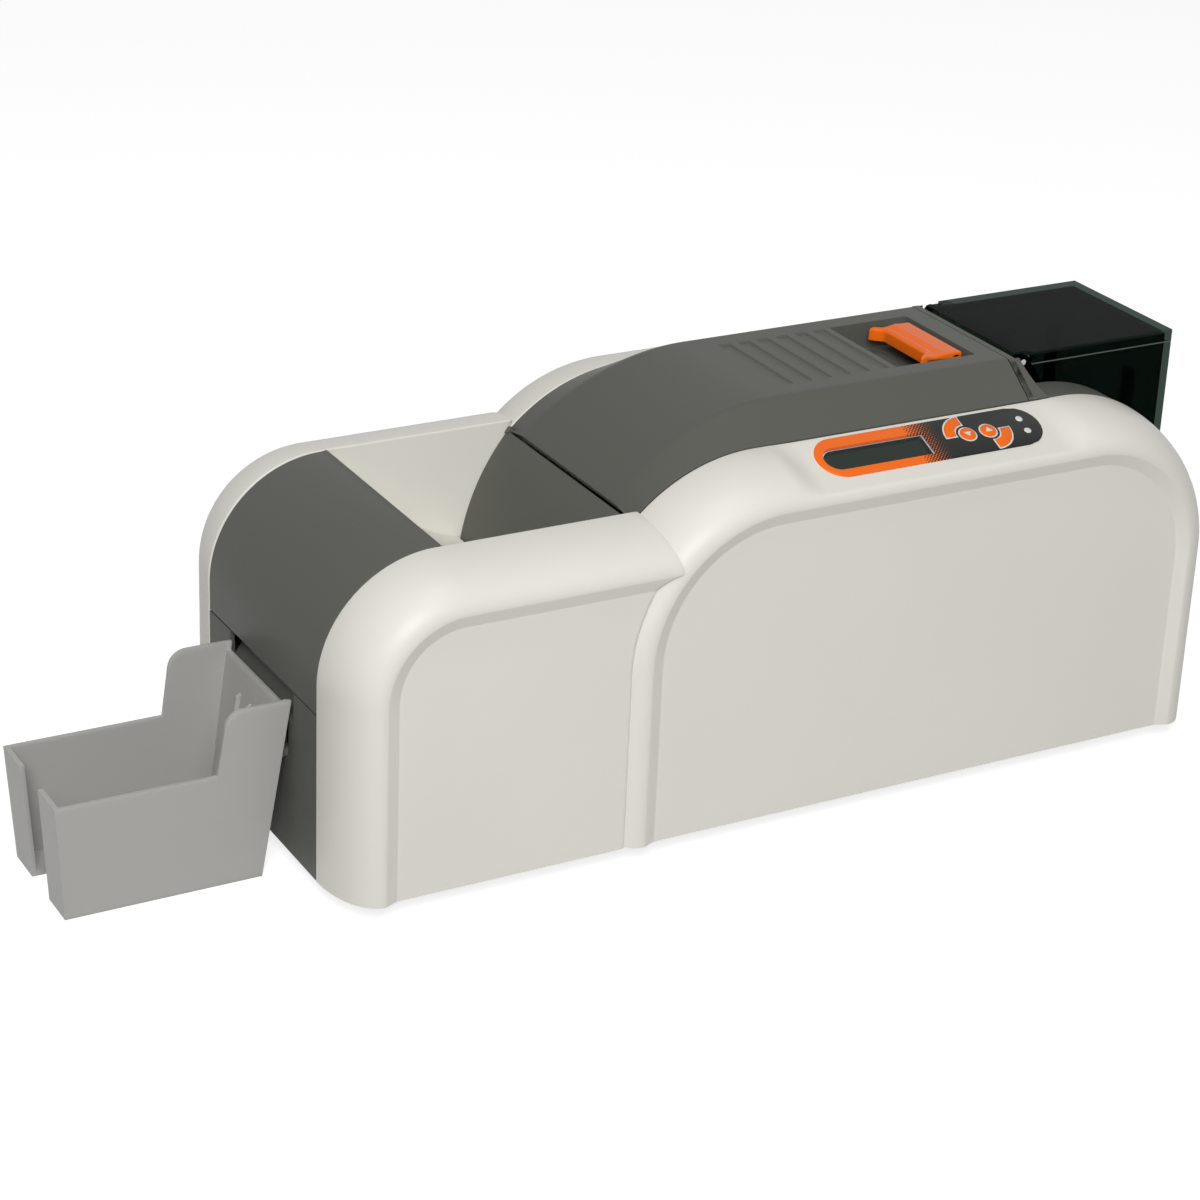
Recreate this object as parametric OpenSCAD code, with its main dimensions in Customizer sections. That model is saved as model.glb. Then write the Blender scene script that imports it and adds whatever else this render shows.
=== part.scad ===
// Card printer with a hopper at its right end and a card flipper with a hook-on bin at its left end.
// X runs from the output bin to the hopper, Y away from the control panel, Z up from the table.

/* [Card] */
// Length of one card
card_l = 85.6; // [80:0.1:90]
// Width of one card
card_w = 54; // [50:0.1:58]
// Height of the card path above the lower edge of the side shells
path_z = 80; // [78:0.5:82]

/* [Side shells] */
// Length of the main unit
main_l = 338.5; // [330:0.5:350]
// Height of the main side shells
main_h = 173.5; // [171:0.5:176]
// Radius of the front shoulder of the main unit
front_r = 85.5; // [80:0.5:88]
// Radius of the back shoulder of the main unit
back_r = 80.8; // [76:0.2:84]
// Half of the width between the two side shells
inner_half = 60.8; // [60:0.1:62]
// Half of the overall width over the ridges
body_half = 95.6; // [92:0.2:100]
// Width of the rounded ridge, from the outline to its crest
ridge_w = 18; // [14:0.5:20]
// Width of the step from the crest down to the flat panel
step_w = 7.5; // [6:0.5:10]
// Depth of the flat panel below the crest
recess = 2.8; // [2:0.1:4]
// Wall of the moulded shells and covers
wall = 2.4; // [2:0.1:3]
// Seam between neighbouring mouldings
seam = 1; // [0.6:0.1:1.4]
// Side clearance of the covers between the shells
side_gap = 0.5; // [0.3:0.1:0.8]

/* [Flipper] */
// Length of the flipper module
flip_l = 130.5; // [126:0.5:136]
// Height of the flipper module
flip_h = 152.6; // [150:0.2:156]
// Radius of the flipper shoulder
flip_r = 56.5; // [54:0.5:58]
// Distance of the sharp cover ridge past the top of the shoulder
ridge_past = 2.8; // [2:0.1:4]
// Height of the seam between flipper cover and housing above the card path
seam_rise = 2.2; // [2:0.1:2.6]
// Half width of the card slot
slot_half = 36.25; // [34:0.25:38]
// Height of the card slot
slot_h = 4.6; // [4.4:0.1:5]
// Height of the valley floor at the main unit
valley_z = 97; // [95:0.5:99]

/* [Top cover] */
// Length of the top cover
cover_l = 215.7; // [212:0.1:219]
// Height of the flat top above the side shells
cover_rise = 14.5; // [13:0.1:15]
// Radius of the cover's front slope
cover_r = 110.7; // [108:0.1:113]
// Half width of the flat top
flat_half = 41; // [39:0.5:43]
// Drop from the flat top to the cover's lip
lip_drop = 38; // [37:0.2:39]
// Depth of the hinge axis under the cover's surface
hinge_depth = 6; // [5.8:0.1:6.2]
// Number of grip grooves
groove_n = 6; // [4:1:6]
// Distance between grip grooves
groove_pitch = 10.7; // [9:0.1:11]
// Width of one grip groove
groove_w = 6; // [5:0.1:7]
// Length of the latch pocket
pocket_l = 45; // [44:0.5:47]
// Half width of the latch pocket
pocket_half = 29.5; // [28:0.5:31]
// Depth of the latch pocket
pocket_depth = 13.6; // [12:0.2:14]
// Step from the cover's surface back to the front arch
arch_step = 0.9; // [0.6:0.1:1.4]

/* [Hopper] */
// Length of the hopper box
hopper_l = 94.3; // [92:0.1:98]
// Half width of the hopper box
hopper_half = 40.2; // [39:0.1:41]
// Height of the hopper's lid above the cover's flat top
lid_rise = 0.9; // [0.6:0.1:2]
// Height of the lid's rim
lid_rim = 6.4; // [6:0.1:7]
// Wall of the clear hopper
clear_wall = 2.5; // [2:0.1:3]

/* [Output bin] */
// Length of the bin at its rim
bin_l = 110.4; // [104:0.2:116]
// Half width of the bin at its high rim
bin_half = 34.9; // [34:0.1:36]
// Side draft of the bin, per side
bin_draft = 3.4; // [2.5:0.1:4]
// Height of the low rim
bin_low = 46.7; // [42:0.1:50]
// Height of the high rim
bin_high = 77.8; // [76:0.1:79]
// Depth of the bin's floor below the shells' lower edge
bin_drop = 9.5; // [8:0.1:9.6]
// Wall of the bin
bin_wall = 2.3; // [2:0.1:2.6]
// Width of the finger notch
notch_w = 22; // [18:0.5:26]

/* [Mechanism] */
// Radius of the driven rollers
roller_r = 6.5; // [6:0.1:7]
// Half length of the rubber rollers
roller_half = 30; // [28:0.5:32]
// Radius of the roller journals
journal_r = 3; // [2.5:0.1:3.4]
// Radial running clearance
run_fit = 0.05; // [0.03:0.01:0.08]
// Half width between the chassis side plates
plate_y = 38; // [37.5:0.1:39]
// Thickness of the chassis side plates
plate_t = 1.6; // [1.2:0.1:2]
// Radius of the steel hinge pins
pin_r = 1.5; // [1.3:0.1:1.7]
// Radius of the belt pulleys
pulley_r = 7; // [6.5:0.1:7.5]
// Thickness of the belts
belt_t = 1.3; // [1:0.1:1.6]

/* [Controls] */
// Length of the control panel
panel_l = 124; // [120:0.5:127]
// Width of the control panel
panel_w = 25; // [23:0.2:26]
// Slope of the control pad
pad_tilt = 22; // [20:0.5:24]
// Radius of the round buttons
button_r = 3.9; // [3.4:0.1:4.2]
// Travel of the buttons
button_travel = 0.6; // [0.4:0.1:0.8]
// Height of the rubber feet
foot_h = 10; // [10:0.1:12]

/* [Hidden] */

white = [0.90, 0.90, 0.87];
grey = [0.36, 0.36, 0.35];
light_grey = [0.70, 0.70, 0.71];
smoke = [0.10, 0.12, 0.11, 0.55];
orange = [0.98, 0.42, 0.08];
black = [0.07, 0.07, 0.08];
steel = [0.72, 0.73, 0.75];
rubber = [0.15, 0.15, 0.16];
green = [0.10, 0.38, 0.22];

// Main places, in a working frame with X = 0 at the main unit's front end and Z = 0 at the
// shells' lower edge.
hair = 0.3;
cover_half = inner_half - side_gap;
front_cz = main_h - front_r;
cover_top = main_h + cover_rise;
lip_z = cover_top - lip_drop;
hopper_top = cover_top + lid_rise;
back_cx = main_l - back_r;
back_cz = main_h - back_r;
flip_cx = -flip_l + flip_r;
flip_cz = flip_h - flip_r;
cover_cz = cover_top - cover_r;
lip_x = 24;
cover_cx = lip_x + sqrt(pow(cover_r, 2) - pow(lip_z - cover_cz, 2));
cover_end = lip_x + cover_l;
frame_x = cover_end + side_gap;
hopper_x = frame_x + 5.3;
hopper_end = hopper_x + hopper_l;
bin_end = -flip_l - bin_l;
mid_x = (bin_end + hopper_end) / 2;
arch_r = cover_r - arch_step;

// Hinge of the top cover: under the lip, square to the cover's surface there.
lip_n = [(lip_x - cover_cx) / cover_r, (lip_z - cover_cz) / cover_r];
lip_t = [lip_n[1], -lip_n[0]];
hinge_x = lip_x + 4 * lip_t[0] - hinge_depth * lip_n[0];
hinge_z = lip_z + 4 * lip_t[1] - hinge_depth * lip_n[1];
cove_r = 8.3;
knuckle_r = 3.2;
flip_pin_x = flip_cx - 0.8;
flip_pin_z = flip_h - 4;
lid_pin_x = hopper_x + 4.5;
lid_pin_z = hopper_top - 4.6;
lever_pin_z = cover_top - 4.5;
pocket_x = cover_end - 56.4;
pocket_end = pocket_x + pocket_l;
lever_pin_x = pocket_end - 5.8;
head_x = 115;
infeed_x = 225;
feed_x = 165;
exit_x = 60;
shaft_z = path_z - roller_r;
flip_seam_z = path_z + seam_rise;
pick_r = 9;
pick_x = hopper_x + 40;
spool_z = path_z + 35;
supply_x = 160;
takeup_x = 72;
motor_x = 190;
motor_z = 38;
board_z = 12;
pad_x = 173.5;
pad_y = 75.15;
pad_z = main_h - (pad_y - inner_half) * tan(pad_tilt);

module place() { translate([-mid_x, 0, foot_h]) children(); }
module both_sides() { children(); mirror([0, 1, 0]) children(); }
// A flat outline in X and Z, carried along Y.
module along_y(y0, y1) { translate([0, y1, 0]) rotate([90, 0, 0]) linear_extrude(y1 - y0) children(); }
module y_rod(x, z, r, y0, y1) {
    translate([x, y1, z]) rotate([90, 0, 0]) cylinder(h = y1 - y0, r = r, $fn = 48);
}
module block(x, y, z) { translate([x[0], y[0], z[0]]) cube([x[1] - x[0], y[1] - y[0], z[1] - z[0]]); }
module on_pad() { translate([pad_x, -pad_y, pad_z]) rotate([pad_tilt, 0, 0]) children(); }
// Two equal circles and the straight band between them.
module loop(p, q, r) {
    a = atan2(q[1] - p[1], q[0] - p[0]);
    translate(p) circle(r = r, $fn = 48);
    translate(q) circle(r = r, $fn = 48);
    translate(p) rotate(a) translate([0, -r]) square([norm(q - p), 2 * r]);
}

function arc(cx, cz, r, a0, a1, n) =
    [for (i = [0:n]) let (a = a0 + (a1 - a0) * i / n) [cx + r * cos(a), cz + r * sin(a)]];

// ---- Side shells: a hollow moulding whose ridge runs round the outline, then steps down to a panel.
// Each ring is the outline moved in by some distance, at one depth from the middle plane.
quarter = [0, 20, 38, 54, 67, 79, 90];
step_at = [1 / 3, 2 / 3, 1];
ridge_y = body_half - inner_half;
function ring_in(t) = concat([for (a = quarter) ridge_w - (ridge_w - t) * cos(a)],
    [for (s = step_at) ridge_w + step_w * s]);
function ring_y(t) = concat([for (a = quarter) inner_half + max(t, (ridge_y - t) * sin(a))],
    [for (s = step_at) body_half - t - recess * (1 - cos(180 * s)) / 2]);
pad_stations = concat([for (e = [21.8, 16, 10, 4]) pad_x - panel_l / 2 - e],
    [for (e = [4, 10, 16, 21.8]) pad_x + panel_l / 2 + e]);
// Depth of the ridge below the outline at distance y from the middle.
function ridge_at(y) = ridge_w * (1 - cos(asin(min(1, (y - inner_half) / ridge_y))));
function main_outline(d, pad) = concat([[d, 0]],
    arc(front_r, front_cz, front_r - d, 180, 90, 10),
    pad ? [for (x = pad_stations) [x, main_h - d]] : [],
    arc(back_cx, back_cz, back_r - d, 90, 0, 10), [[main_l - d, 0]]);
// The front face of the main unit at height z, moved in by d.
function main_face(z, d) = z <= front_cz ? d
    : front_r - sqrt(max(0, pow(front_r - d, 2) - pow(z - front_cz, 2)));
function flip_outline(d) = concat([[-flip_l + d, 0]],
    arc(flip_cx, flip_cz, flip_r - d, 180, 90, 8), [[0, flip_h - d], [90 - d, flip_h - d], [90 - d, 0]]);

// Closes outer and inner rings into one hollow shell, open at the bottom.
module ring_shell(outer, inner) {
    m = len(outer) - 1;
    n = len(outer[0]) - 1;
    w = n + 1;
    b = (m + 1) * w;
    points = concat([for (r = outer) for (p = r) p], [for (r = inner) for (p = r) p]);
    skin = [for (j = [0:m - 1]) for (k = [0:n - 1]) let (a = j * w + k)
        each [[a, a + w, a + w + 1], [a, a + w + 1, a + 1]]];
    lining = [for (f = skin) [f[2] + b, f[1] + b, f[0] + b]];
    caps = [[for (k = [0:n]) k], [for (k = [n:-1:0]) m * w + k],
        [for (k = [n:-1:0]) b + k], [for (k = [0:n]) b + m * w + k]];
    rims = [for (j = [0:m - 1]) let (a = j * w, c = a + n) each [
        [a, b + a, b + a + w], [a, b + a + w, a + w],
        [b + c, c, c + w], [b + c, c + w, b + c + w]]];
    ends = [[0, n, b + n], [0, b + n, b],
        [b + m * w, b + m * w + n, m * w + n], [b + m * w, m * w + n, m * w]];
    polyhedron(points, concat(skin, lining, caps, rims, ends), convexity = 8);
}
// How far the flat control pad is worked into the ridge at a place along X: 0 off it, 1 on it.
function pad_share(x) = let (a = (panel_l / 2 + 22 - abs(x - pad_x)) / 18)
    (1 - cos(180 * max(0, min(1, a)))) / 2;
function pad_depth(y) = (y - inner_half) * tan(pad_tilt);
function main_rings(t, pad) = let (ds = ring_in(t), ys = ring_y(t))
    [for (j = [0:len(ds) - 1]) [for (p = main_outline(ds[j], pad))
        let (flat = p[1] > main_h - ds[j] - 0.01 && j < len(quarter),
            drop = flat && pad ? pad_share(p[0]) * max(0, pad_depth(ys[j]) + t - ds[j]) : 0)
        [p[0], ys[j], p[1] - drop]]];
function flip_rings(t) = let (ds = ring_in(t), ys = ring_y(t))
    [for (j = [0:len(ds) - 1]) [for (p = flip_outline(ds[j])) [p[0], ys[j], p[1]]]];

// The room that the main unit's ridge and the seam beside it take from a flipper shell.
module ridge_room() {
    ys = concat([inner_half - 2], [for (a = quarter) inner_half + ridge_y * sin(a)], [body_half + 2]);
    zs = concat([-2], [for (i = [0:8]) front_cz + (flip_h + 3 - front_cz) * i / 8]);
    w = len(zs);
    m = len(ys) - 1;
    b = len(ys) * w;
    near = [for (y = ys) for (z = zs) [main_face(z, ridge_at(y) - seam), y, z]];
    skin = [for (j = [0:m - 1]) for (k = [0:w - 2]) let (a = j * w + k)
        each [[a, a + w, a + w + 1], [a, a + w + 1, a + 1]]];
    back = [[b + 2, b + 3, b + 1], [b + 2, b + 1, b]];
    floor = concat([for (j = [0:m]) j * w], [b + 1, b]);
    roof = concat([for (j = [m:-1:0]) j * w + w - 1], [b + 2, b + 3]);
    left = concat([for (k = [0:w - 1]) k], [b + 2, b]);
    right = concat([for (k = [w - 1:-1:0]) m * w + k], [b + 1, b + 3]);
    corners = [[120, ys[0], -2], [120, ys[m], -2], [120, ys[0], flip_h + 3], [120, ys[m], flip_h + 3]];
    polyhedron(concat(near, corners), concat(skin, back, [[for (k = [len(floor) - 1:-1:0]) floor[k]],
        [for (k = [len(roof) - 1:-1:0]) roof[k]], left, right]), convexity = 4);
}

module hinge_boss(x, z) {
    y_rod(x, z, 3, inner_half + 1, inner_half + 6.2);
}
// The near shell has a slot under the control panel.
module main_shell(near) {
    difference() {
        union() {
            difference() {
                ring_shell(main_rings(0, near), main_rings(wall, near));
                if (near) mirror([0, 1, 0]) on_pad() translate([-0.8, 0, -2])
                    cube([panel_l - 10.4, panel_w - 1.2, 8], center = true);
            }
            hinge_boss(hinge_x, hinge_z);
        }
        y_rod(hinge_x, hinge_z, pin_r, inner_half - 1, inner_half + 5.2);
    }
}
module main_shell_far() color(white) place() main_shell(false);
module main_shell_near() color(white) place() mirror([0, 1, 0]) main_shell(true);
module flipper_shell() {
    difference() {
        union() {
            difference() {
                ring_shell(flip_rings(0), flip_rings(wall));
                ridge_room();
            }
            hinge_boss(flip_pin_x, flip_pin_z);
        }
        y_rod(flip_pin_x, flip_pin_z, pin_r, inner_half - 1, inner_half + 5.2);
    }
}
module flipper_shell_far() color(white) place() flipper_shell();
module flipper_shell_near() color(white) place() mirror([0, 1, 0]) flipper_shell();

// ---- Flipper: arc cover hinged at its ridge, housing with the card slot, trough and turning cradle.
flip_skin = flip_r - 0.2;
module sector(cx, cz, r_out, r_in) {
    difference() {
        translate([cx, cz]) circle(r = r_out, $fn = 96);
        translate([cx, cz]) circle(r = r_in, $fn = 96);
        translate([cx - 2 * r_out, cz - 3 * r_out]) square([4 * r_out, 3 * r_out]);
        translate([cx, cz - r_out]) square([2 * r_out, 3 * r_out]);
    }
}
module flipper_cover() color(grey) place() difference() {
    union() {
        along_y(-cover_half, cover_half) {
            sector(flip_cx, flip_cz, flip_skin, flip_skin - wall);
            translate([flip_cx - flip_skin, flip_seam_z]) square([wall, flip_cz - flip_seam_z]);
            polygon([[flip_cx, flip_cz + flip_skin], [flip_cx + ridge_past, flip_h + hair],
                [flip_cx + ridge_past, flip_h - wall], [flip_cx, flip_cz + flip_skin - wall]]);
        }
        both_sides() y_rod(flip_pin_x, flip_pin_z, knuckle_r, 48, cover_half);
    }
    both_sides() y_rod(flip_pin_x, flip_pin_z, pin_r + run_fit, 47, cover_half + 1);
}
// Four equal pins, two for this cover and two for the top cover.
module hinge_pins() color(steel) place() both_sides() {
    y_rod(flip_pin_x, flip_pin_z, pin_r, 48, inner_half + 5);
    y_rod(hinge_x, hinge_z, pin_r, 48, inner_half + 5);
}

housing_x = -flip_l + 0.2;
housing_end = -seam - 0.6;
housing_top = flip_seam_z - 0.6;
lip_low = 66;
cradle_r = 4;
hook_y = 27;
hook_z = 49;
hook_lift = 12;
module flipper_housing() color(grey) place() difference() {
    union() {
        difference() {
            block([housing_x, housing_end], [-cover_half, cover_half], [0, housing_top]);
            block([housing_x + wall, housing_end - wall], [-cover_half + wall, cover_half - wall],
                [wall, housing_top + 1]);
            // Slot recess in the front, with the lip below it, and the card window at the main unit.
            block([housing_x - 1, housing_x + wall + 1], [-slot_half, slot_half], [lip_low, housing_top + 1]);
            block([housing_end - wall - 1, housing_end + 1], [-slot_half, slot_half],
                [path_z - 8, housing_top + 1]);
        }
        block([housing_x + 6, housing_end], [-inner_half, inner_half], [0, wall]);
        along_y(-slot_half, slot_half) polygon([[housing_x, lip_low], [housing_x, lip_low - 1],
            [housing_x + wall, lip_low - 1], [housing_x + 8, flip_seam_z - slot_h - wall],
            [housing_x + 8, flip_seam_z - slot_h]]);
        // Bearing ears of the cradle.
        both_sides() along_y(cover_half - wall, cover_half) polygon([[flip_cx - 24, housing_top - 1],
            [flip_cx + 24, housing_top - 1], [flip_cx + 10, path_z + 12], [flip_cx - 10, path_z + 12]]);
        both_sides() y_rod(flip_cx, path_z, 9, cover_half - wall - 2, cover_half - 1);
    }
    both_sides() y_rod(flip_cx, path_z, cradle_r + run_fit, cover_half - 8, cover_half + 1);
    for (s = [-1, 1]) block([housing_x - 1, housing_x + wall + 1], [s * hook_y - 3.5, s * hook_y + 3.5],
        [hook_z - 1, hook_z + hook_lift + 4]);
}
trough_x = flip_cx + ridge_past + 2.7;
function bezier(p, q, r, n) = [for (i = [0:n]) let (t = i / n)
    (1 - t) * (1 - t) * p + 2 * t * (1 - t) * q + t * t * r];
module flipper_trough() color(white) place() {
    a = [trough_x, flip_h - 2.4];
    c = [-seam - 1.2, valley_z];
    b = [c[0] - 32, valley_z + 7];
    down = [0, -wall * 1.3];
    along_y(-cover_half, cover_half)
        polygon(concat(bezier(a, b, c, 12), bezier(c + down, b + down, a + down, 12)));
    // Side flanges that rest on the housing's ears and edges.
    both_sides() block([-20, housing_end - 0.5], [cover_half - wall, cover_half],
        [housing_top, valley_z]);
}
cheek_half = 30;
cradle_y = 36.5;
cradle_pulley_y = 47;
module flipper_cradle() color(black) place() {
    difference() {
        union() {
            both_sides() along_y(cradle_y - 2.5, cradle_y) difference() {
                loop([flip_cx - 22, path_z], [flip_cx + 22, path_z], 12);
                for (s = [-1, 1]) translate([flip_cx + s * 22, path_z]) square([20, 5], center = true);
            }
            both_sides() y_rod(flip_cx, path_z, cradle_r, cradle_y, cover_half - 0.4);
            y_rod(flip_cx, path_z, 12, cradle_pulley_y, cradle_pulley_y + 5);
            for (x = [-24, 24], z = [-8, 8]) y_rod(flip_cx + x, path_z + z, 2, -cradle_y + 1, cradle_y - 1);
        }
        y_rod(flip_cx, path_z - 6.3, 2 + run_fit, -cradle_y - 1, cradle_y + 1);
    }
    // Shoe that presses the card on the roller.
    block([flip_cx - 8, flip_cx + 8], [-cradle_y + 1, cradle_y - 1], [path_z + 0.6, path_z + 2.6]);
}
module cradle_roller() color(rubber) place() {
    y_rod(flip_cx, path_z - 6.3, 6, -roller_half, roller_half);
    y_rod(flip_cx, path_z - 6.3, 2, -cradle_y + 0.2, cradle_y - 0.2);
}
flip_motor_z = 22;
module motor(x, z, size, y0, y1) {
    along_y(y0, y1) difference() {
        translate([x - size / 2, z - size / 2]) square(size);
        for (sx = [-1, 1], sz = [-1, 1]) translate([x + sx * size / 2, z + sz * size / 2])
            rotate(45) square(size / 6, center = true);
    }
}
module flipper_motor() color(black) place() {
    motor(flip_cx, flip_motor_z, 35, 28, 46);
    block([flip_cx - 15, flip_cx + 15], [30, 44], [wall, flip_motor_z - 17.5]);
    y_rod(flip_cx, flip_motor_z, 2.5, 46, cradle_pulley_y + 6);
    y_rod(flip_cx, flip_motor_z, 12, cradle_pulley_y, cradle_pulley_y + 5);
}
module belt(p, q, r, y) {
    along_y(y, y + 4) difference() {
        loop(p, q, r + hair + belt_t);
        loop(p, q, r + hair);
    }
}
module flipper_belt() color(rubber) place()
    belt([flip_cx, flip_motor_z], [flip_cx, path_z], 12, cradle_pulley_y + 0.5);

// ---- Base, front arch and rear frame.
tray_x = housing_end;
tray_end = main_l - 0.2;
socket_z = 34;
inlet_y = 28;
data_y = -8;
switch_y = -32;
switch_x = tray_end - wall / 2;
hopper_floor = path_z - clear_wall;
module base_tray() color(grey) place() difference() {
    union() {
        block([tray_x, tray_end], [-inner_half, inner_half], [0, wall]);
        block([tray_end - wall, tray_end], [-cover_half, cover_half], [0, hopper_floor - 1]);
        block([tray_x, tray_x + wall], [-cover_half, cover_half], [0, 20]);
        for (x = [30, 150], y = [-28, 28]) translate([x, y, wall / 2])
            cylinder(h = board_z - wall / 2, r = 3.5, $fn = 32);
        for (x = foot_xs) for (y = [-45, 45]) if (x > 0) translate([x, y, 0])
            cylinder(h = 5, r = 5, $fn = 32);
    }
    block([tray_end - 4, tray_end + 1], [inlet_y - 14, inlet_y + 14], [socket_z - 10, socket_z + 10]);
    block([tray_end - 4, tray_end + 1], [data_y - 6.2, data_y + 6.2], [socket_z - 5.6, socket_z + 5.6]);
    block([tray_end - 4, tray_end + 1], [switch_y - 10, switch_y + 10], [socket_z - 6.5, socket_z + 6.5]);
    translate([switch_x, switch_y, socket_z - 8]) cylinder(h = 16, r = 0.85, $fn = 24);
    for (z = [52:5:67]) block([tray_end - 4, tray_end + 1], [-48, 48], [z, z + 2]);
    for (y = [-54, 54], z = [8, 68]) translate([tray_end - 4, y, z]) rotate([0, 90, 0])
        cylinder(h = 6, r = 1.7, $fn = 24);
}
foot_xs = [-105, 25, 312];
module rubber_feet() color(rubber) place() for (x = foot_xs, y = [-45, 45])
    translate([x, y, -foot_h]) cylinder(h = foot_h, r1 = 8, r2 = 9, $fn = 48);

module front_arch() color(grey) place() difference() {
    union() {
        along_y(-cover_half, cover_half) difference() {
            translate([cover_cx, cover_cz]) circle(r = arch_r, $fn = 180);
            translate([cover_cx, cover_cz]) circle(r = arch_r - wall, $fn = 180);
            translate([hinge_x, -2 * arch_r]) square(5 * arch_r);
            translate([-5 * arch_r, front_cz + 1 - 10 * arch_r]) square(10 * arch_r);
            translate([-5 * arch_r, hinge_z + 2]) square(10 * arch_r);
        }
        // Webs that carry the arch on the chassis plates.
        both_sides() along_y(plate_y + plate_t, plate_y + plate_t + 2) intersection() {
            translate([cover_cx, cover_cz]) circle(r = arch_r - 1, $fn = 180);
            polygon([[-8, front_cz + 1], [30, front_cz - 6], [30, hinge_z - 49], [16, hinge_z - 31],
                [-8, hinge_z - 31]]);
        }
    }
    y_rod(hinge_x, hinge_z, cove_r, -cover_half - 1, cover_half + 1);
}

skin_r = back_r - 0.5;
strip_w = 3.2;
hump_end = frame_x + 22.5;
chamfer_z = main_h + 0.2;
module rear_frame() color(grey) place() difference() {
    union() {
        along_y(-cover_half, cover_half) {
            difference() {
                union() {
                    translate([back_cx, back_cz]) circle(r = skin_r, $fn = 96);
                    translate([frame_x, back_cz]) square([back_cx - frame_x, skin_r]);
                }
                translate([back_cx, back_cz]) circle(r = skin_r - wall, $fn = 96);
                translate([frame_x - 1, back_cz - 1]) square([back_cx - frame_x + 1, skin_r - wall + 1]);
                translate([0, back_cz - 2 * back_r]) square([2 * main_l, 2 * back_r]);
                translate([frame_x - 4 * back_r, 0]) square([4 * back_r, 2 * main_h]);
            }
            translate([back_cx + skin_r - wall, hopper_floor - 1])
                square([wall, back_cz - hopper_floor + 1]);
        }
        // Bulkhead behind the hopper and the strip that caps it.
        block([frame_x, frame_x + wall], [-cover_half + 2, cover_half - 2], [hopper_floor, main_h]);
        intersection() {
            block([frame_x, frame_x + strip_w], [-cover_half, cover_half], [main_h - 4, cover_top]);
            hump();
        }
        // Chamfered shoulders that carry the cover's form down to the deck.
        intersection() {
            hump();
            both_sides() along_y(flat_half, cover_half + 1) difference() {
                translate([frame_x, main_h - 4]) square([hump_end - frame_x, 30]);
                translate([hump_end, cover_top + 1]) rotate(0) scale([1, 1.6]) circle(r = 11.5, $fn = 64);
            }
        }
    }
    block([frame_x + strip_w, main_l + 5], [-hopper_half - 0.6, hopper_half + 0.6],
        [hopper_floor - 3, cover_top + 5]);
    block([frame_x - 1, frame_x + wall + 1], [-30, 30], [path_z - 4, path_z + 5]);
}
module hump() {
    rotate([90, 0, 90]) translate([0, 0, frame_x]) linear_extrude(hump_end - frame_x)
        polygon([[-cover_half, main_h - 4], [cover_half, main_h - 4], [cover_half, chamfer_z],
            [flat_half, cover_top], [-flat_half, cover_top], [-cover_half, chamfer_z]]);
}

// ---- Top cover: an arched skin with chamfered sides, a grooved grip and the latch pocket.
function cover_z(x, r) = x < cover_cx ? cover_cz + sqrt(pow(r, 2) - pow(cover_cx - x, 2)) : cover_cz + r;
function shell_z(x) = x < front_r ? front_cz + sqrt(pow(front_r, 2) - pow(front_r - x, 2)) : main_h;
function crease(x) = flat_half + 5 * pow(max(0, 1 - (x - lip_x) / 50), 2);
function cover_section(x) = let (zt = cover_z(x, cover_r), zi = cover_z(x, cover_r - wall),
    ze = min(shell_z(x) + 0.2, zi - 0.4), c = crease(x), e = cover_half)
    [[x, -e, ze], [x, -c, zt], [x, c, zt], [x, e, ze],
     [x, e - wall, ze], [x, c - 1, zi], [x, -c + 1, zi], [x, -e + wall, ze]];
module swept(sections) {
    n = len(sections[0]);
    m = len(sections) - 1;
    sides = [for (k = [0:m - 1]) for (i = [0:n - 1]) let (a = k * n + i, b = k * n + (i + 1) % n)
        each [[a, b, b + n], [a, b + n, a + n]]];
    cap = [[6, 5, 2, 1], [1, 0, 7, 6], [5, 4, 3, 2]];
    last = [for (f = cap) [for (i = [3:-1:0]) f[i] + m * n]];
    polyhedron([for (s = sections) for (p = s) p], concat(sides, cap, last), convexity = 6);
}
cover_xs = concat([for (a = [0:11]) cover_cx - (cover_cx - lip_x) * cos(90 * a / 12) ],
    [cover_cx, cover_end]);
groove_x = 123.1;
module top_cover() color(grey) place() difference() {
    union() {
        swept([for (x = cover_xs) cover_section(x)]);
        difference() {
            block([pocket_x - wall, pocket_end + wall], [-pocket_half - wall, pocket_half + wall],
                [cover_top - pocket_depth - wall, cover_top - 1]);
            block([pocket_x, pocket_end], [-pocket_half, pocket_half],
                [cover_top - pocket_depth, cover_top + 1]);
        }
        both_sides() y_rod(hinge_x, hinge_z, knuckle_r, 48, cover_half - 0.2);
        both_sides() along_y(49, 52) polygon([[hinge_x - 2, hinge_z], [hinge_x + 2, hinge_z - 2],
            [hinge_x + 12, cover_z(hinge_x + 12, cover_r - 1)], [hinge_x, cover_z(hinge_x, cover_r - 1)]]);
    }
    for (i = [0:groove_n - 1]) block([groove_x + i * groove_pitch - groove_w / 2,
        groove_x + i * groove_pitch + groove_w / 2], [-29, 29], [cover_top - 0.9, cover_top + 1]);
    block([pocket_x, pocket_end], [-pocket_half, pocket_half], [cover_top - 8, cover_top + 3]);
    block([lever_pin_x - 11, pocket_end], [-8, 8], [cover_top - pocket_depth - 5, cover_top - 5]);
    y_rod(lever_pin_x, lever_pin_z, pin_r, -pocket_half - 2, pocket_half + 2);
    both_sides() y_rod(hinge_x, hinge_z, pin_r + run_fit, 47, cover_half + 1);
}

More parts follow.
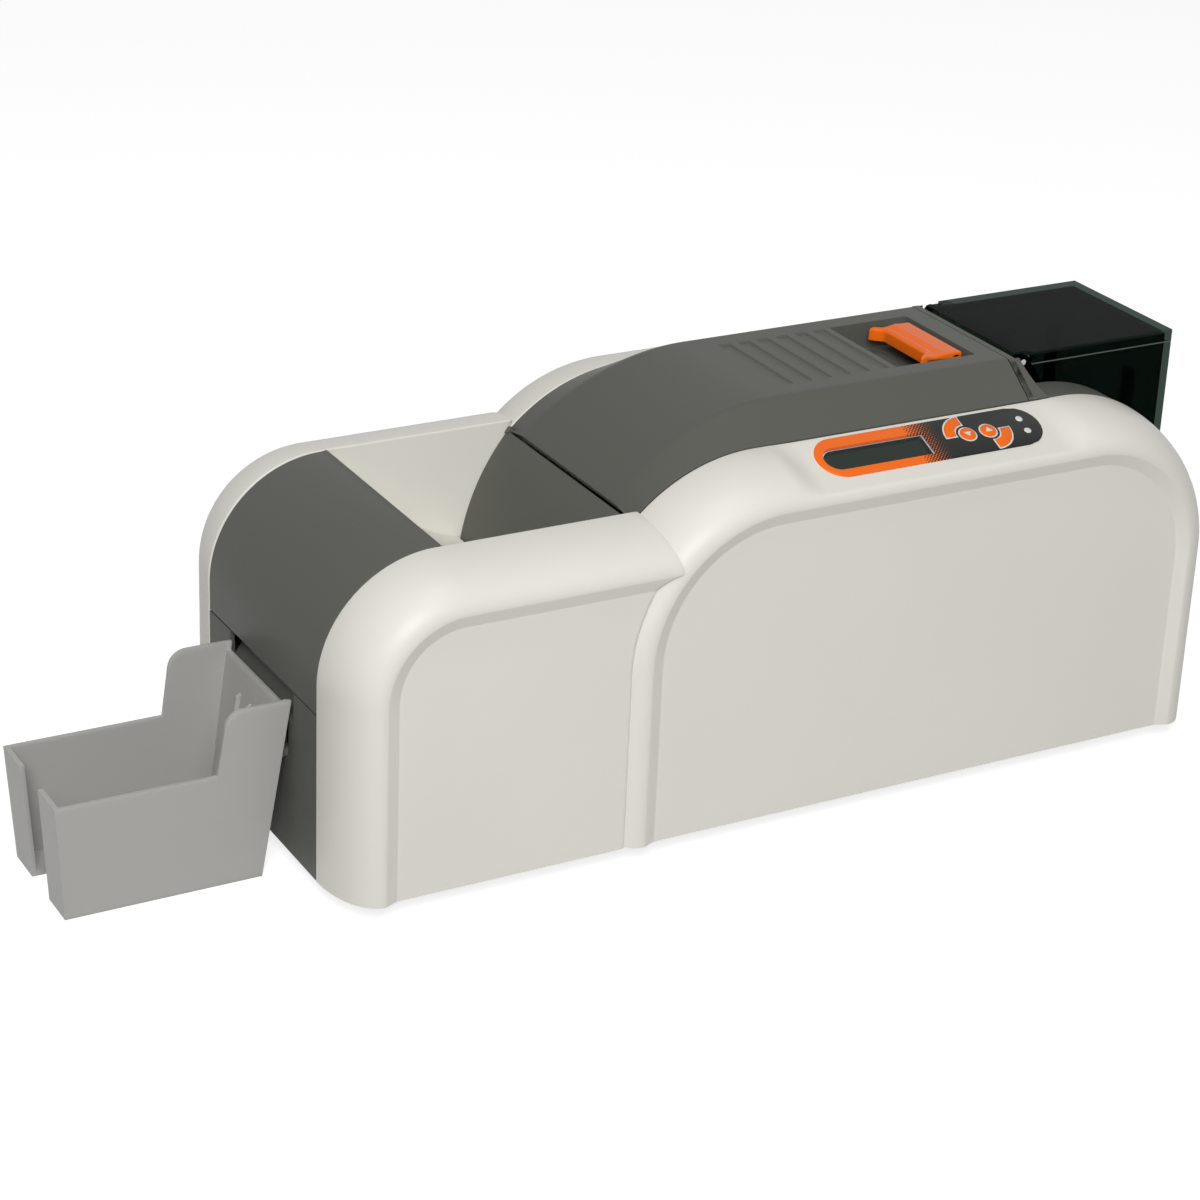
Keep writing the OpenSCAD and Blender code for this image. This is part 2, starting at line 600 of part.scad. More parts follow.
lever_half = 23;
module latch_lever() color(orange) place() difference() {
    union() {
        // Grip: a flat tail over the pin that waves up to a raised finger edge.
        along_y(-lever_half, lever_half) polygon(concat(
            [[lever_pin_x + 3.4, lever_pin_z + 4], [lever_pin_x - 6, lever_pin_z + 4.2]],
            [for (i = [1:6]) [lever_pin_x - 6 - i * 2, lever_pin_z + 4.2 - 0.8 * sin(i * 30) + i * 0.1]],
            [[lever_pin_x - 20, lever_pin_z + 3.6], [lever_pin_x - 20.6, lever_pin_z - 2],
             [lever_pin_x - 17.6, lever_pin_z - 2], [lever_pin_x - 16, lever_pin_z + 1.6],
             [lever_pin_x - 4, lever_pin_z + 1], [lever_pin_x + 3.4, lever_pin_z + 1]]));
        y_rod(lever_pin_x, lever_pin_z, 3.2, -lever_half, lever_half);
        along_y(-5, 5) polygon([[lever_pin_x - 3, lever_pin_z], [lever_pin_x + 2, lever_pin_z],
            [lever_pin_x + 2, lever_pin_z - 16], [catch_x - hair, lever_pin_z - 18],
            [catch_x - hair, lever_pin_z - 20], [lever_pin_x - 3, lever_pin_z - 20]]);
    }
    y_rod(lever_pin_x, lever_pin_z, pin_r + run_fit, -lever_half - 1, lever_half + 1);
}
module latch_lever_pin() color(steel) place()
    y_rod(lever_pin_x, lever_pin_z, pin_r, -pocket_half - 1.9, pocket_half + 1.9);
catch_x = pocket_end + 1.6;
module latch_catch() color(steel) place() {
    block([catch_x, frame_x], [-8, 8], [cover_top - 21, cover_top - 18.6]);
    block([frame_x - 1.4, frame_x], [-8, 8], [cover_top - 36, cover_top - 18.6]);
}

// ---- Hopper: a clear box with card guides, a hinged lid and a weight that presses the cards down.
wall_top = hopper_top - lid_rim - hair;
guide_half = card_w / 2 + 0.5;
lid_tab = hopper_half - clear_wall - 0.4;
module hopper_body() color(smoke) place() difference() {
    union() {
        difference() {
            block([hopper_x, hopper_end], [-hopper_half, hopper_half], [hopper_floor, wall_top]);
            block([hopper_x + clear_wall, hopper_end - clear_wall],
                [-hopper_half + clear_wall, hopper_half - clear_wall], [path_z, wall_top + 1]);
            block([hopper_x - 1, hopper_x + clear_wall + 1],
                [-hopper_half + clear_wall, hopper_half - clear_wall], [hopper_top - 11.6, wall_top + 1]);
            block([hopper_x - 1, hopper_x + clear_wall + 1], [-card_w / 2 - 1, card_w / 2 + 1],
                [path_z, path_z + 3]);
            block([pick_x - 13, pick_x + 13], [-22, 22], [hopper_floor - 1, path_z + 1]);
        }
        both_sides() along_y(hopper_half - clear_wall, hopper_half) {
            translate([lid_pin_x, lid_pin_z]) circle(r = 3.7, $fn = 48);
            translate([hopper_x, wall_top - 1]) square([9, lid_pin_z - wall_top + 1]);
        }
        for (x = [hopper_x + 16, hopper_x + 76]) both_sides()
            block([x, x + 2], [guide_half, hopper_half - 1], [path_z - 1, wall_top - 14]);
    }
    both_sides() y_rod(lid_pin_x, lid_pin_z, pin_r, hopper_half - 4, hopper_half + 1);
}
module hopper_lid() color(smoke) place() difference() {
    union() {
        block([hopper_x + 9.5, hopper_end], [-hopper_half, hopper_half],
            [hopper_top - clear_wall, hopper_top]);
        block([hopper_x + 0.3, hopper_x + 10], [-lid_tab, lid_tab], [hopper_top - clear_wall, hopper_top]);
        difference() {
            block([hopper_x + 9.5, hopper_end], [-hopper_half, hopper_half],
                [hopper_top - lid_rim, hopper_top - 1]);
            block([hopper_x + 9, hopper_end - clear_wall],
                [-hopper_half + clear_wall, hopper_half - clear_wall],
                [hopper_top - lid_rim - 1, hopper_top]);
        }
        both_sides() y_rod(lid_pin_x, lid_pin_z, 3.3, lid_tab - 3, lid_tab);
    }
    both_sides() y_rod(lid_pin_x, lid_pin_z, pin_r + run_fit, hopper_half - 8, hopper_half - clear_wall);
}
module hopper_lid_pins() color(steel) place() both_sides()
    y_rod(lid_pin_x, lid_pin_z, pin_r, hopper_half - clear_wall - 3.2, hopper_half);
module card_weight() color(black) place() {
    block([hopper_x + clear_wall + 2, hopper_end - clear_wall - 2], [-card_w / 2 + 0.5, card_w / 2 - 0.5],
        [path_z + 0.6, path_z + 6]);
    block([pick_x - 8, pick_x + 20], [-4, 4], [path_z + 5, path_z + 15]);
}

// ---- Chassis: two steel side plates tied by rods, with the rollers between them.
shaft_xs = [infeed_x, feed_x, head_x, exit_x];
pinch_r = 5;
clean_r = 8;
pick_z = path_z + 0.3 - pick_r;
rod_at = [[20, 30], [100, 55], [232, 30], [232, 118], [24, 92], [290, 20]];
rod_r = 2.5;
module chassis_plate(y0) difference() {
    along_y(y0, y0 + plate_t) difference() {
        polygon([[12, wall], [300, wall], [300, hopper_floor], [frame_x - 3, hopper_floor],
            [frame_x - 3, path_z + 48], [210, path_z + 48], [196, path_z + 26], [30, path_z + 26],
            [12, path_z + 12]]);
        translate([motor_x, motor_z]) circle(r = 12, $fn = 48);
        for (x = [60, 100, 140]) translate([x, 32]) circle(r = 11, $fn = 48);
    }
    for (x = shaft_xs) y_rod(x, shaft_z, journal_r + run_fit, y0 - 1, y0 + plate_t + 1);
    y_rod(pick_x, pick_z, journal_r + run_fit, y0 - 1, y0 + plate_t + 1);
    y_rod(infeed_x, path_z + clean_r, journal_r + run_fit, y0 - 1, y0 + plate_t + 1);
    for (x = [feed_x, exit_x]) y_rod(x, path_z + pinch_r, 2 + run_fit, y0 - 1, y0 + plate_t + 1);
    for (p = rod_at) y_rod(p[0], p[1], rod_r, y0 - 1, y0 + plate_t + 1);
}
module chassis_plate_far() color(steel) place() chassis_plate(plate_y);
module chassis_plate_near() color(steel) place() chassis_plate(-plate_y - plate_t);
module cross_rods() color(steel) place() for (p = rod_at)
    y_rod(p[0], p[1], rod_r, -plate_y - plate_t, plate_y + plate_t);
pulley_y = 42;
module roller(x, z, r, jr, far) {
    y_rod(x, z, r, -roller_half, roller_half);
    y_rod(x, z, jr, -plate_y - plate_t - 1, far);
}
module pulley(x, z, y) {
    y_rod(x, z, pulley_r, y, y + 5);
    y_rod(x, z, pulley_r + 1.4, y - 0.8, y);
}
module driven(x) {
    roller(x, shaft_z, roller_r, journal_r, pulley_y + 5);
    pulley(x, shaft_z, pulley_y);
}
module platen_roller() color(rubber) place() driven(head_x);
module feed_roller() color(rubber) place() driven(feed_x);
module exit_roller() color(rubber) place() driven(exit_x);
motor_pulley_y = 49;
module infeed_roller() color(rubber) place() {
    driven(infeed_x);
    y_rod(infeed_x, shaft_z, journal_r, pulley_y + 4, motor_pulley_y + 5);
    pulley(infeed_x, shaft_z, motor_pulley_y);
}
module cleaning_roller() color([0.35, 0.6, 0.75]) place()
    roller(infeed_x, path_z + clean_r, clean_r - 0.1, journal_r, plate_y + plate_t + 1);
module feed_pinch() color(steel) place()
    roller(feed_x, path_z + pinch_r, pinch_r - 0.1, 2, plate_y + plate_t + 1);
module exit_pinch() color(steel) place()
    roller(exit_x, path_z + pinch_r, pinch_r - 0.1, 2, plate_y + plate_t + 1);
module pick_roller() color(rubber) place() {
    y_rod(pick_x, pick_z, pick_r, -20, 20);
    y_rod(pick_x, pick_z, journal_r, -plate_y - plate_t - 1, plate_y + plate_t + 1);
}
module drive_belt() color(rubber) place()
    belt([exit_x, shaft_z], [infeed_x, shaft_z], pulley_r, pulley_y + 0.5);
module motor_belt() color(rubber) place()
    belt([motor_x, motor_z], [infeed_x, shaft_z], pulley_r, motor_pulley_y + 0.5);
module drive_motor() color(black) place() {
    motor(motor_x, motor_z, 42, 2, plate_y);
    y_rod(motor_x, motor_z, 11, plate_y - 0.5, plate_y + plate_t);
    y_rod(motor_x, motor_z, 2.5, plate_y, motor_pulley_y + 6);
}
module motor_pulley() color(steel) place() difference() {
    pulley(motor_x, motor_z, motor_pulley_y);
    y_rod(motor_x, motor_z, 2.5 + run_fit, motor_pulley_y - 2, motor_pulley_y + 6);
}

// ---- Print head under the top cover, and the ribbon cartridge that it reaches into.
head_half = 28;
head_low = path_z + 1.4;
module print_head() color(steel) place() {
    along_y(-head_half, head_half) polygon([[head_x - 6, head_low + 2], [head_x - 2, head_low],
        [head_x + 2, head_low], [head_x + 6, head_low + 2], [head_x + 6, head_low + 8],
        [head_x - 6, head_low + 8]]);
    for (i = [-2:2]) block([head_x + i * 2.6 - 0.6, head_x + i * 2.6 + 0.6], [-head_half, head_half],
        [head_low + 7.5, head_low + 22]);
}
module head_bracket() color(steel) place() {
    z1 = head_low + 22;
    both_sides() block([head_x - 7, head_x + 7], [head_half, head_half + 1.6],
        [head_low + 3, cover_top - wall - 1.4]);
    block([head_x - 7, head_x + 7], [-head_half - 1.6, head_half + 1.6], [z1, z1 + 2]);
    block([max(head_x - 12, cover_cx + 0.2), head_x + 12], [-head_half - 6, head_half + 6],
        [cover_top - wall - 1.5, cover_top - wall]);
}
cheek_y = 33;
cart_z = path_z + 28.5;
supply_r = 16;
takeup_r = 12;
rod_out = supply_r + 2;
// Its two rods rest on the chassis plates.
module ribbon_cartridge() color(light_grey) place() difference() {
    union() {
        both_sides() along_y(cheek_y, cheek_y + 2.5) {
            loop([takeup_x, spool_z], [supply_x, spool_z], 8);
            loop([takeup_x - rod_out, cart_z], [takeup_x, spool_z], 5);
            loop([supply_x + rod_out, cart_z], [supply_x, spool_z], 5);
            for (x = [takeup_x, supply_x]) translate([x, spool_z]) circle(r = 15, $fn = 64);
        }
        for (x = [takeup_x - rod_out, supply_x + rod_out])
            y_rod(x, cart_z, 2.5, -plate_y - plate_t, plate_y + plate_t);
    }
    for (x = [takeup_x, supply_x]) both_sides()
        y_rod(x, spool_z, journal_r + run_fit, cheek_y - 1, cheek_y + 4);
}
module spool(x, r) {
    y_rod(x, spool_z, r, -roller_half, roller_half);
    y_rod(x, spool_z, journal_r, -cheek_y - 2.4, cheek_y + 2.4);
}
module supply_spool() color([0.75, 0.65, 0.2]) place() spool(supply_x, supply_r);
module takeup_spool() color([0.45, 0.3, 0.5]) place() spool(takeup_x, takeup_r);
web_t = 0.4;
module ribbon_web() color([0.75, 0.65, 0.2]) place() {
    left = [takeup_x + 4, spool_z - takeup_r - 1.6];
    right = [supply_x - 4, spool_z - supply_r - 1.4];
    low = head_low - 0.7;
    up = [0, web_t];
    along_y(-roller_half, roller_half) polygon([left, [head_x - 10, low], [head_x + 10, low], right,
        right + up, [head_x + 9.8, low + web_t], [head_x - 9.8, low + web_t], left + up]);
}

// ---- Boards, sockets and controls.
module main_board() color(green) place() {
    block([22, 160], [-34, 34], [board_z, board_z + 1.6]);
    block([40, 64], [-14, 10], [board_z + 1.5, board_z + 3.4]);
    block([80, 96], [8, 24], [board_z + 1.5, board_z + 3]);
    block([146, 158], [-26, 26], [board_z + 1.5, board_z + 8]);
    for (x = [104, 118, 132]) translate([x, -22, board_z + 1.5]) cylinder(h = 11, r = 5, $fn = 32);
}
module power_inlet() color(black) place() difference() {
    union() {
        block([tray_end - 22, tray_end], [inlet_y - 13.8, inlet_y + 13.8], [socket_z - 9.8, socket_z + 9.8]);
        block([tray_end, tray_end + 1.2], [inlet_y - 15.5, inlet_y + 15.5],
            [socket_z - 11.5, socket_z + 11.5]);
    }
    block([tray_end - 16, tray_end + 2], [inlet_y - 12, inlet_y + 12], [socket_z - 8, socket_z + 8]);
}
module data_socket() color(steel) place() difference() {
    union() {
        block([tray_end - 15, tray_end], [data_y - 6, data_y + 6], [socket_z - 5.4, socket_z + 5.4]);
        block([tray_end - wall - 1, tray_end - wall], [data_y - 8, data_y + 8], [socket_z - 7, socket_z + 7]);
    }
    block([tray_end - 10, tray_end + 1], [data_y - 4.2, data_y + 4.2], [socket_z - 3.8, socket_z + 3.8]);
    block([tray_end - 11, tray_end + 1], [data_y - 2, data_y + 2], [socket_z - 1, socket_z + 1]);
}
// Rocker in the middle of its cut-out, turning about an upright pin in the end wall.
module power_switch() color(black) place() translate([switch_x, switch_y, socket_z]) {
    translate([0, 0, -6]) linear_extrude(12)
        polygon([[-5, -3], [-5, 3], [0.2, 9], [1.6, 9.2], [1, 0], [1.6, -9.2], [0.2, -9]]);
    translate([0, 0, -7.6]) cylinder(h = 15.2, r = 0.8, $fn = 24);
}
module case_screws() color(steel) place() for (y = [-54, 54], z = [8, 68])
    translate([tray_end, y, z]) rotate([0, 90, 0]) {
        cylinder(h = 1.4, r = 3.2, $fn = 32);
        translate([0, 0, -8]) cylinder(h = 8.5, r = 1.7, $fn = 24);
    }

panel_low = 0;
panel_t = 1;
module stadium(l, w) { loop([-l / 2 + w / 2, 0], [l / 2 - w / 2, 0], w / 2); }
frame_t = 1.5;
board_top = -4.4;
down_s = 21;
up_s = 32.6;
lcd_s = -29.3;
lcd_l = 53;
lcd_w = 14.4;
module arc_key(s, a, r0, r1) {
    translate([s, 0]) intersection() {
        difference() { circle(r = r1, $fn = 64); circle(r = r0, $fn = 64); }
        rotate(a) polygon([[0, 0], [20, 0], [20, 20], [0, 20]]);
    }
}
key_gap = 0.35;
key_reach = min(button_r + 7.7, panel_w / 2 - 0.9);
module control_panel() color(black) place() on_pad() translate([0, 0, panel_low]) difference() {
    linear_extrude(panel_t) stadium(panel_l, panel_w);
    translate([lcd_s, -1, -1]) linear_extrude(3) square([lcd_l, lcd_w], center = true);
    for (s = [down_s, up_s]) translate([s, 0, -1]) cylinder(h = 3, r = button_r + key_gap, $fn = 48);
    translate([0, 0, -1]) linear_extrude(3) {
        arc_key(down_s, 90, button_r + 2.7 - key_gap, key_reach + key_gap);
        arc_key(up_s, -90, button_r + 2.7 - key_gap, key_reach + key_gap);
    }
    for (t = [-4.1, 4.1]) translate([52.8, t, -1]) cylinder(h = 3, r = 2, $fn = 32);
}
module display_frame() color(light_grey) place() on_pad() translate([lcd_s, -1, -frame_t]) difference() {
    linear_extrude(frame_t) square([lcd_l + 3, lcd_w + 2.6], center = true);
    translate([0, 0, -1]) linear_extrude(4) square([lcd_l - 1.5, lcd_w - 1.2], center = true);
}
module display() color([0.16, 0.2, 0.18]) place() on_pad() translate([lcd_s, -1, board_top])
    linear_extrude(-frame_t - board_top) square([lcd_l + 2, lcd_w + 2], center = true);
key_low = -2.6;
key_top = panel_low + panel_t + 0.5;
module key_cap() { translate([0, 0, key_low]) linear_extrude(key_top - key_low) children(); }
module button_down() color(orange) place() on_pad() key_cap()
    translate([down_s, 0]) circle(r = button_r, $fn = 48);
module button_up() color(orange) place() on_pad() key_cap()
    translate([up_s, 0]) circle(r = button_r, $fn = 48);
module button_escape() color(orange) place() on_pad() key_cap()
    arc_key(down_s, 90, button_r + 2.7, key_reach);
module button_enter() color(orange) place() on_pad() key_cap()
    arc_key(up_s, -90, button_r + 2.7, key_reach);
module status_lights() color("white") place() on_pad() for (t = [-4.1, 4.1])
    translate([52.8, t, board_top]) cylinder(h = key_top - board_top - 0.2, r = 1.95, $fn = 32);
module control_board() color(green) place() on_pad() translate([0, 0, board_top - 1.4])
    linear_extrude(1.4) stadium(panel_l - 8, 18);

// ---- Output bin: stepped sides, a notched front and two hooks at the back.
bin_x = -flip_l - 0.2;
bin_lean = 13;
module bin_side(w, floor_w) {
    x0 = bin_end + w;
    x1 = bin_x - w;
    step_x = bin_end + 75.4;
    polygon(concat([[x0 + 3.6, -bin_drop + floor_w], [x1 - bin_lean, -bin_drop + floor_w],
        [x1 + (w > 0 ? 3 : 0), w > 0 ? bin_high + 5 : bin_high]],
        w > 0 ? [[x0 - 0.4, bin_high + 5]]
        : concat(arc(step_x + 12.5, bin_high - 9, 9, 90, 172, 6), [[step_x, bin_low], [x0, bin_low]])));
}
module bin_trapezoid(w) {
    h = bin_high + bin_drop;
    rotate([90, 0, 90]) translate([0, 0, bin_end - 10]) linear_extrude(bin_l + 20)
        polygon([[-bin_half + bin_draft + w, -bin_drop], [bin_half - bin_draft - w, -bin_drop],
            [bin_half - w, bin_high], [bin_half - w, bin_high + 9], [-bin_half + w, bin_high + 9],
            [-bin_half + w, bin_high]]);
}
module output_bin() color(light_grey) place() difference() {
    union() {
        difference() {
            intersection() {
                along_y(-60, 60) bin_side(0, 0);
                bin_trapezoid(0);
            }
            intersection() {
                along_y(-60, 60) bin_side(bin_wall, bin_wall);
                bin_trapezoid(bin_wall);
            }
        }
        // Card ribs on the back wall.
        for (y = [-12, 0, 12]) along_y(y - 0.7, y + 0.7) polygon([[bin_x - bin_lean - 1, -bin_drop + 1],
            [bin_x - bin_lean - 4, -bin_drop + 1], [bin_x - 7, 60], [bin_x - 4, 62]]);
        for (s = [-1, 1]) along_y(s * hook_y - 2.8, s * hook_y + 2.8) polygon([
            [bin_x - 6, hook_z - 4], [bin_x - 6, hook_z + 3], [housing_x + wall + 2.4, hook_z + 3],
            [housing_x + wall + 2.4, hook_z - 7], [housing_x + wall + 0.4, hook_z - 7],
            [housing_x + wall + 0.4, hook_z - 0.9], [bin_x - 1, hook_z - 0.9]]);
    }
    block([bin_end - 5, bin_end + 14], [-notch_w / 2, notch_w / 2], [-bin_drop - 1, bin_high]);
    block([bin_x - 9, bin_x + 0.1], [-bin_half + bin_wall + 0.3, bin_half - bin_wall - 0.3],
        [bin_high - 4, bin_high + 5]);
}

main_shell_near();
main_shell_far();
flipper_shell_near();
flipper_shell_far();
flipper_cover();
hinge_pins();
flipper_housing();
flipper_trough();
flipper_cradle();
cradle_roller();
flipper_motor();
flipper_belt();
base_tray();
front_arch();
rear_frame();
top_cover();
latch_lever();
latch_lever_pin();
latch_catch();
hopper_body();
hopper_lid();
hopper_lid_pins();
card_weight();
chassis_plate_near();
chassis_plate_far();
cross_rods();
print_head();
head_bracket();
platen_roller();
infeed_roller();
feed_roller();
exit_roller();
cleaning_roller();
feed_pinch();
exit_pinch();
pick_roller();
ribbon_cartridge();
supply_spool();
takeup_spool();
ribbon_web();
drive_belt();
motor_belt();
drive_motor();
motor_pulley();
main_board();
control_board();
control_panel();
display_frame();
display();
button_escape();
button_down();
button_up();
button_enter();
status_lights();
power_inlet();
data_socket();
power_switch();
output_bin();
rubber_feet();
case_screws();
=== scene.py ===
import bmesh
import bpy
import numpy as np
from mathutils import Matrix


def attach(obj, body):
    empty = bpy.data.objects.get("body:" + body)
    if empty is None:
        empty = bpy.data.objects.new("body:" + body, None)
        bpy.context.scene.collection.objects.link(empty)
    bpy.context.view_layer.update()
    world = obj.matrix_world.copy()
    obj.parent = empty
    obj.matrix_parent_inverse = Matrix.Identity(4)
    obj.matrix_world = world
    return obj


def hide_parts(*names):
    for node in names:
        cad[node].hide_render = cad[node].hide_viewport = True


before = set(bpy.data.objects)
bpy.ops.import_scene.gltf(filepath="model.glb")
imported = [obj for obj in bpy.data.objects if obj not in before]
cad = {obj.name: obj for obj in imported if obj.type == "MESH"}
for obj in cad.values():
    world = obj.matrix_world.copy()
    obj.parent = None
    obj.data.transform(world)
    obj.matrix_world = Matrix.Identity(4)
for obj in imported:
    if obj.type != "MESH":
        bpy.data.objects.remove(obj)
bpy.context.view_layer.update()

# ---------------------------------------------------------------------------------------------
# Base tray, feet, sockets and end wall.
# Black and grey moulded plastic with rubber feet. Injection moulded, screwed together from the
# back. They keep the frame's own meshes.
# ---------------------------------------------------------------------------------------------


def moulding_grain():
    """The grain of a spark-eroded mould, shared by every plastic: a base colour that drifts by a
    little, a roughness that follows a fine noise, and that noise as a height."""
    tree = bpy.data.node_groups.new("moulding_grain", "ShaderNodeTree")
    sockets = (("Color", "Color", (1, 1, 1, 1)), ("Roughness", "Float", 0.5), ("Grain", "Float", 2500))
    for label, kind, value in sockets:
        socket = tree.interface.new_socket(label, in_out="INPUT", socket_type=f"NodeSocket{kind}")
        socket.default_value = value
    for label, kind in (("Color", "Color"), ("Roughness", "Float"), ("Height", "Float")):
        tree.interface.new_socket(label, in_out="OUTPUT", socket_type=f"NodeSocket{kind}")
    node, link = tree.nodes.new, tree.links.new
    given, made, place = node("NodeGroupInput"), node("NodeGroupOutput"), node("ShaderNodeTexCoord")
    fine, broad = node("ShaderNodeTexNoise"), node("ShaderNodeTexNoise")
    broad.inputs["Scale"].default_value = 9
    fine.inputs["Detail"].default_value = 1
    drift, wear = node("ShaderNodeMapRange"), node("ShaderNodeMath")
    drift.inputs["To Min"].default_value, drift.inputs["To Max"].default_value = 0.97, 1.03
    wear.operation, wear.inputs[1].default_value = "MULTIPLY_ADD", 0.12
    tint, shift = node("ShaderNodeMix"), node("ShaderNodeMath")
    tint.data_type, tint.blend_type, tint.inputs["Factor"].default_value = "RGBA", "MULTIPLY", 1
    shift.operation, shift.inputs[1].default_value = "SUBTRACT", 0.06
    link(place.outputs["Object"], fine.inputs["Vector"])
    link(place.outputs["Object"], broad.inputs["Vector"])
    link(given.outputs["Grain"], fine.inputs["Scale"])
    link(broad.outputs["Fac"], drift.inputs["Value"])
    link(given.outputs["Color"], tint.inputs["A"])
    link(drift.outputs["Result"], tint.inputs["B"])
    link(given.outputs["Roughness"], shift.inputs[0])
    link(fine.outputs["Fac"], wear.inputs[0])
    link(shift.outputs["Value"], wear.inputs[2])
    link(tint.outputs["Result"], made.inputs["Color"])
    link(wear.outputs["Value"], made.inputs["Roughness"])
    link(fine.outputs["Fac"], made.inputs["Height"])
    return tree


GRAIN = moulding_grain()


def finish(name, color, rough, grain=2500.0, depth=0.00004, metal=0.0, coat=0.0, clear=0.0, ior=1.5):
    """A procedural finish: the shared grain feeds colour, roughness and bump of one shader."""
    if name in bpy.data.materials:
        bpy.data.materials[name].name = f"packed_{name}"
    material = bpy.data.materials.new(name)
    material.use_nodes = True
    nodes, link = material.node_tree.nodes, material.node_tree.links.new
    shader, tex, bump = nodes["Principled BSDF"], nodes.new("ShaderNodeGroup"), nodes.new("ShaderNodeBump")
    tex.node_tree = GRAIN
    tex.inputs["Color"].default_value = (*color, 1)
    tex.inputs["Roughness"].default_value = rough
    tex.inputs["Grain"].default_value = grain
    bump.inputs["Strength"].default_value = 0.35
    bump.inputs["Distance"].default_value = depth
    shader.inputs["Metallic"].default_value = metal
    shader.inputs["Coat Weight"].default_value = coat
    shader.inputs["Transmission Weight"].default_value = clear
    shader.inputs["IOR"].default_value = ior
    link(tex.outputs["Color"], shader.inputs["Base Color"])
    link(tex.outputs["Roughness"], shader.inputs["Roughness"])
    link(tex.outputs["Height"], bump.inputs["Height"])
    link(bump.outputs["Normal"], shader.inputs["Normal"])
    material.diffuse_color = (*color, 1)
    return material


def dress(material, *names):
    """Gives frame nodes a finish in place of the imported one."""
    for name in names:
        cad[name].data.materials.clear()
        cad[name].data.materials.append(material)


grey = finish("cover_grey", (0.112, 0.114, 0.10), 0.45, ior=1.2)
black = finish("black_plastic", (0.018, 0.018, 0.02), 0.5)
rubber = finish("rubber_dark", (0.02, 0.02, 0.022), 0.8, grain=1200)
steel = finish("steel", (0.62, 0.63, 0.65), 0.3, grain=900, metal=1.0)
dress(grey, "base_tray")
dress(black, "power_inlet", "power_switch")
dress(rubber, "rubber_feet")
dress(steel, "case_screws", "data_socket", "hinge_pins")

# ---------------------------------------------------------------------------------------------
# Chassis, rollers, drive, head and ribbon.
# Sheet steel plates, rubber rollers on steel shafts, belts and boards, put together between the
# plates before the covers go on. They keep the frame's own meshes.
# ---------------------------------------------------------------------------------------------
board = finish("board_green", (0.012, 0.11, 0.045), 0.35, grain=600)
blue = finish("cleaner_blue", (0.10, 0.32, 0.52), 0.28)
film = finish("ribbon", (0.50, 0.36, 0.03), 0.2)
dress(steel, "chassis_plate_near", "chassis_plate_far", "cross_rods", "feed_pinch", "exit_pinch",
      "motor_pulley", "print_head", "latch_lever_pin", "latch_catch", "hopper_lid_pins")
dress(rubber, "platen_roller", "infeed_roller", "feed_roller", "exit_roller", "pick_roller",
      "drive_belt", "motor_belt", "flipper_belt", "cradle_roller")
dress(black, "drive_motor", "flipper_motor", "flipper_cradle", "ribbon_cartridge", "supply_spool",
      "takeup_spool", "head_bracket", "card_weight")
dress(board, "main_board", "control_board")
dress(blue, "cleaning_roller")
dress(film, "ribbon_web")

# ---------------------------------------------------------------------------------------------
# Main side shells.
# Warm white satin plastic, one hollow moulding each. The outline is swept by a quarter-elliptic
# ridge that steps down to a recessed panel; the near shell has a flat pad for the controls.
# ---------------------------------------------------------------------------------------------
OUT_X, OUT_Z = 49.45, 10.0
INNER_Y, RIDGE_DEEP, RIDGE_WIDE = 60.8, 34.8, 18
FRONT_R, FRONT_Z, TOP_Z = 85.5, 88, 173.5
BACK_X, BACK_Z, BACK_R = 257.7, 92.7, 80.8
PAD_X, PAD_Y, PAD_Z, PAD_TILT = 173.5, 75.15, 167.702, np.radians(22)


def grid(m, n, first=0, loop_m=False, loop_n=False, keep=None):
    """The quads of an m by n grid of points that are numbered from first, row by row."""
    i = np.arange(m * n).reshape(m, n) + first
    if loop_m:
        i = np.vstack([i, i[:1]])
    if loop_n:
        i = np.hstack([i, i[:, :1]])
    quads = np.stack([i[:-1, :-1], i[1:, :-1], i[1:, 1:], i[:-1, 1:]], -1)
    return (quads[keep] if keep is not None else quads.reshape(-1, 4)).tolist()


def piece(name, points, faces, material, body="printer", slot=None, node=None, angle=28, merge=True):
    """One smooth-shaded piece. Points are in millimetres, X from the main unit's front end and Z
    from the shells' lower edge; they move to the frame's origin here."""
    mesh = bpy.data.meshes.new(name)
    at = (np.asarray(points, float).reshape(-1, 3) + (-OUT_X, 0, OUT_Z)) / 1000
    mesh.from_pydata(at.tolist(), [], faces)
    b = bmesh.new()
    b.from_mesh(mesh)
    if merge:
        bmesh.ops.remove_doubles(b, verts=b.verts, dist=2e-6)
    bmesh.ops.recalc_face_normals(b, faces=b.faces)
    b.to_mesh(mesh)
    b.free()
    mesh.shade_smooth()
    mesh.set_sharp_from_angle(angle=np.radians(angle))
    mesh.materials.append(material)
    made = bpy.data.objects.new(name, mesh)
    bpy.context.collection.objects.link(made)
    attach(made, body)
    if node:
        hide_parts(node)
    return made


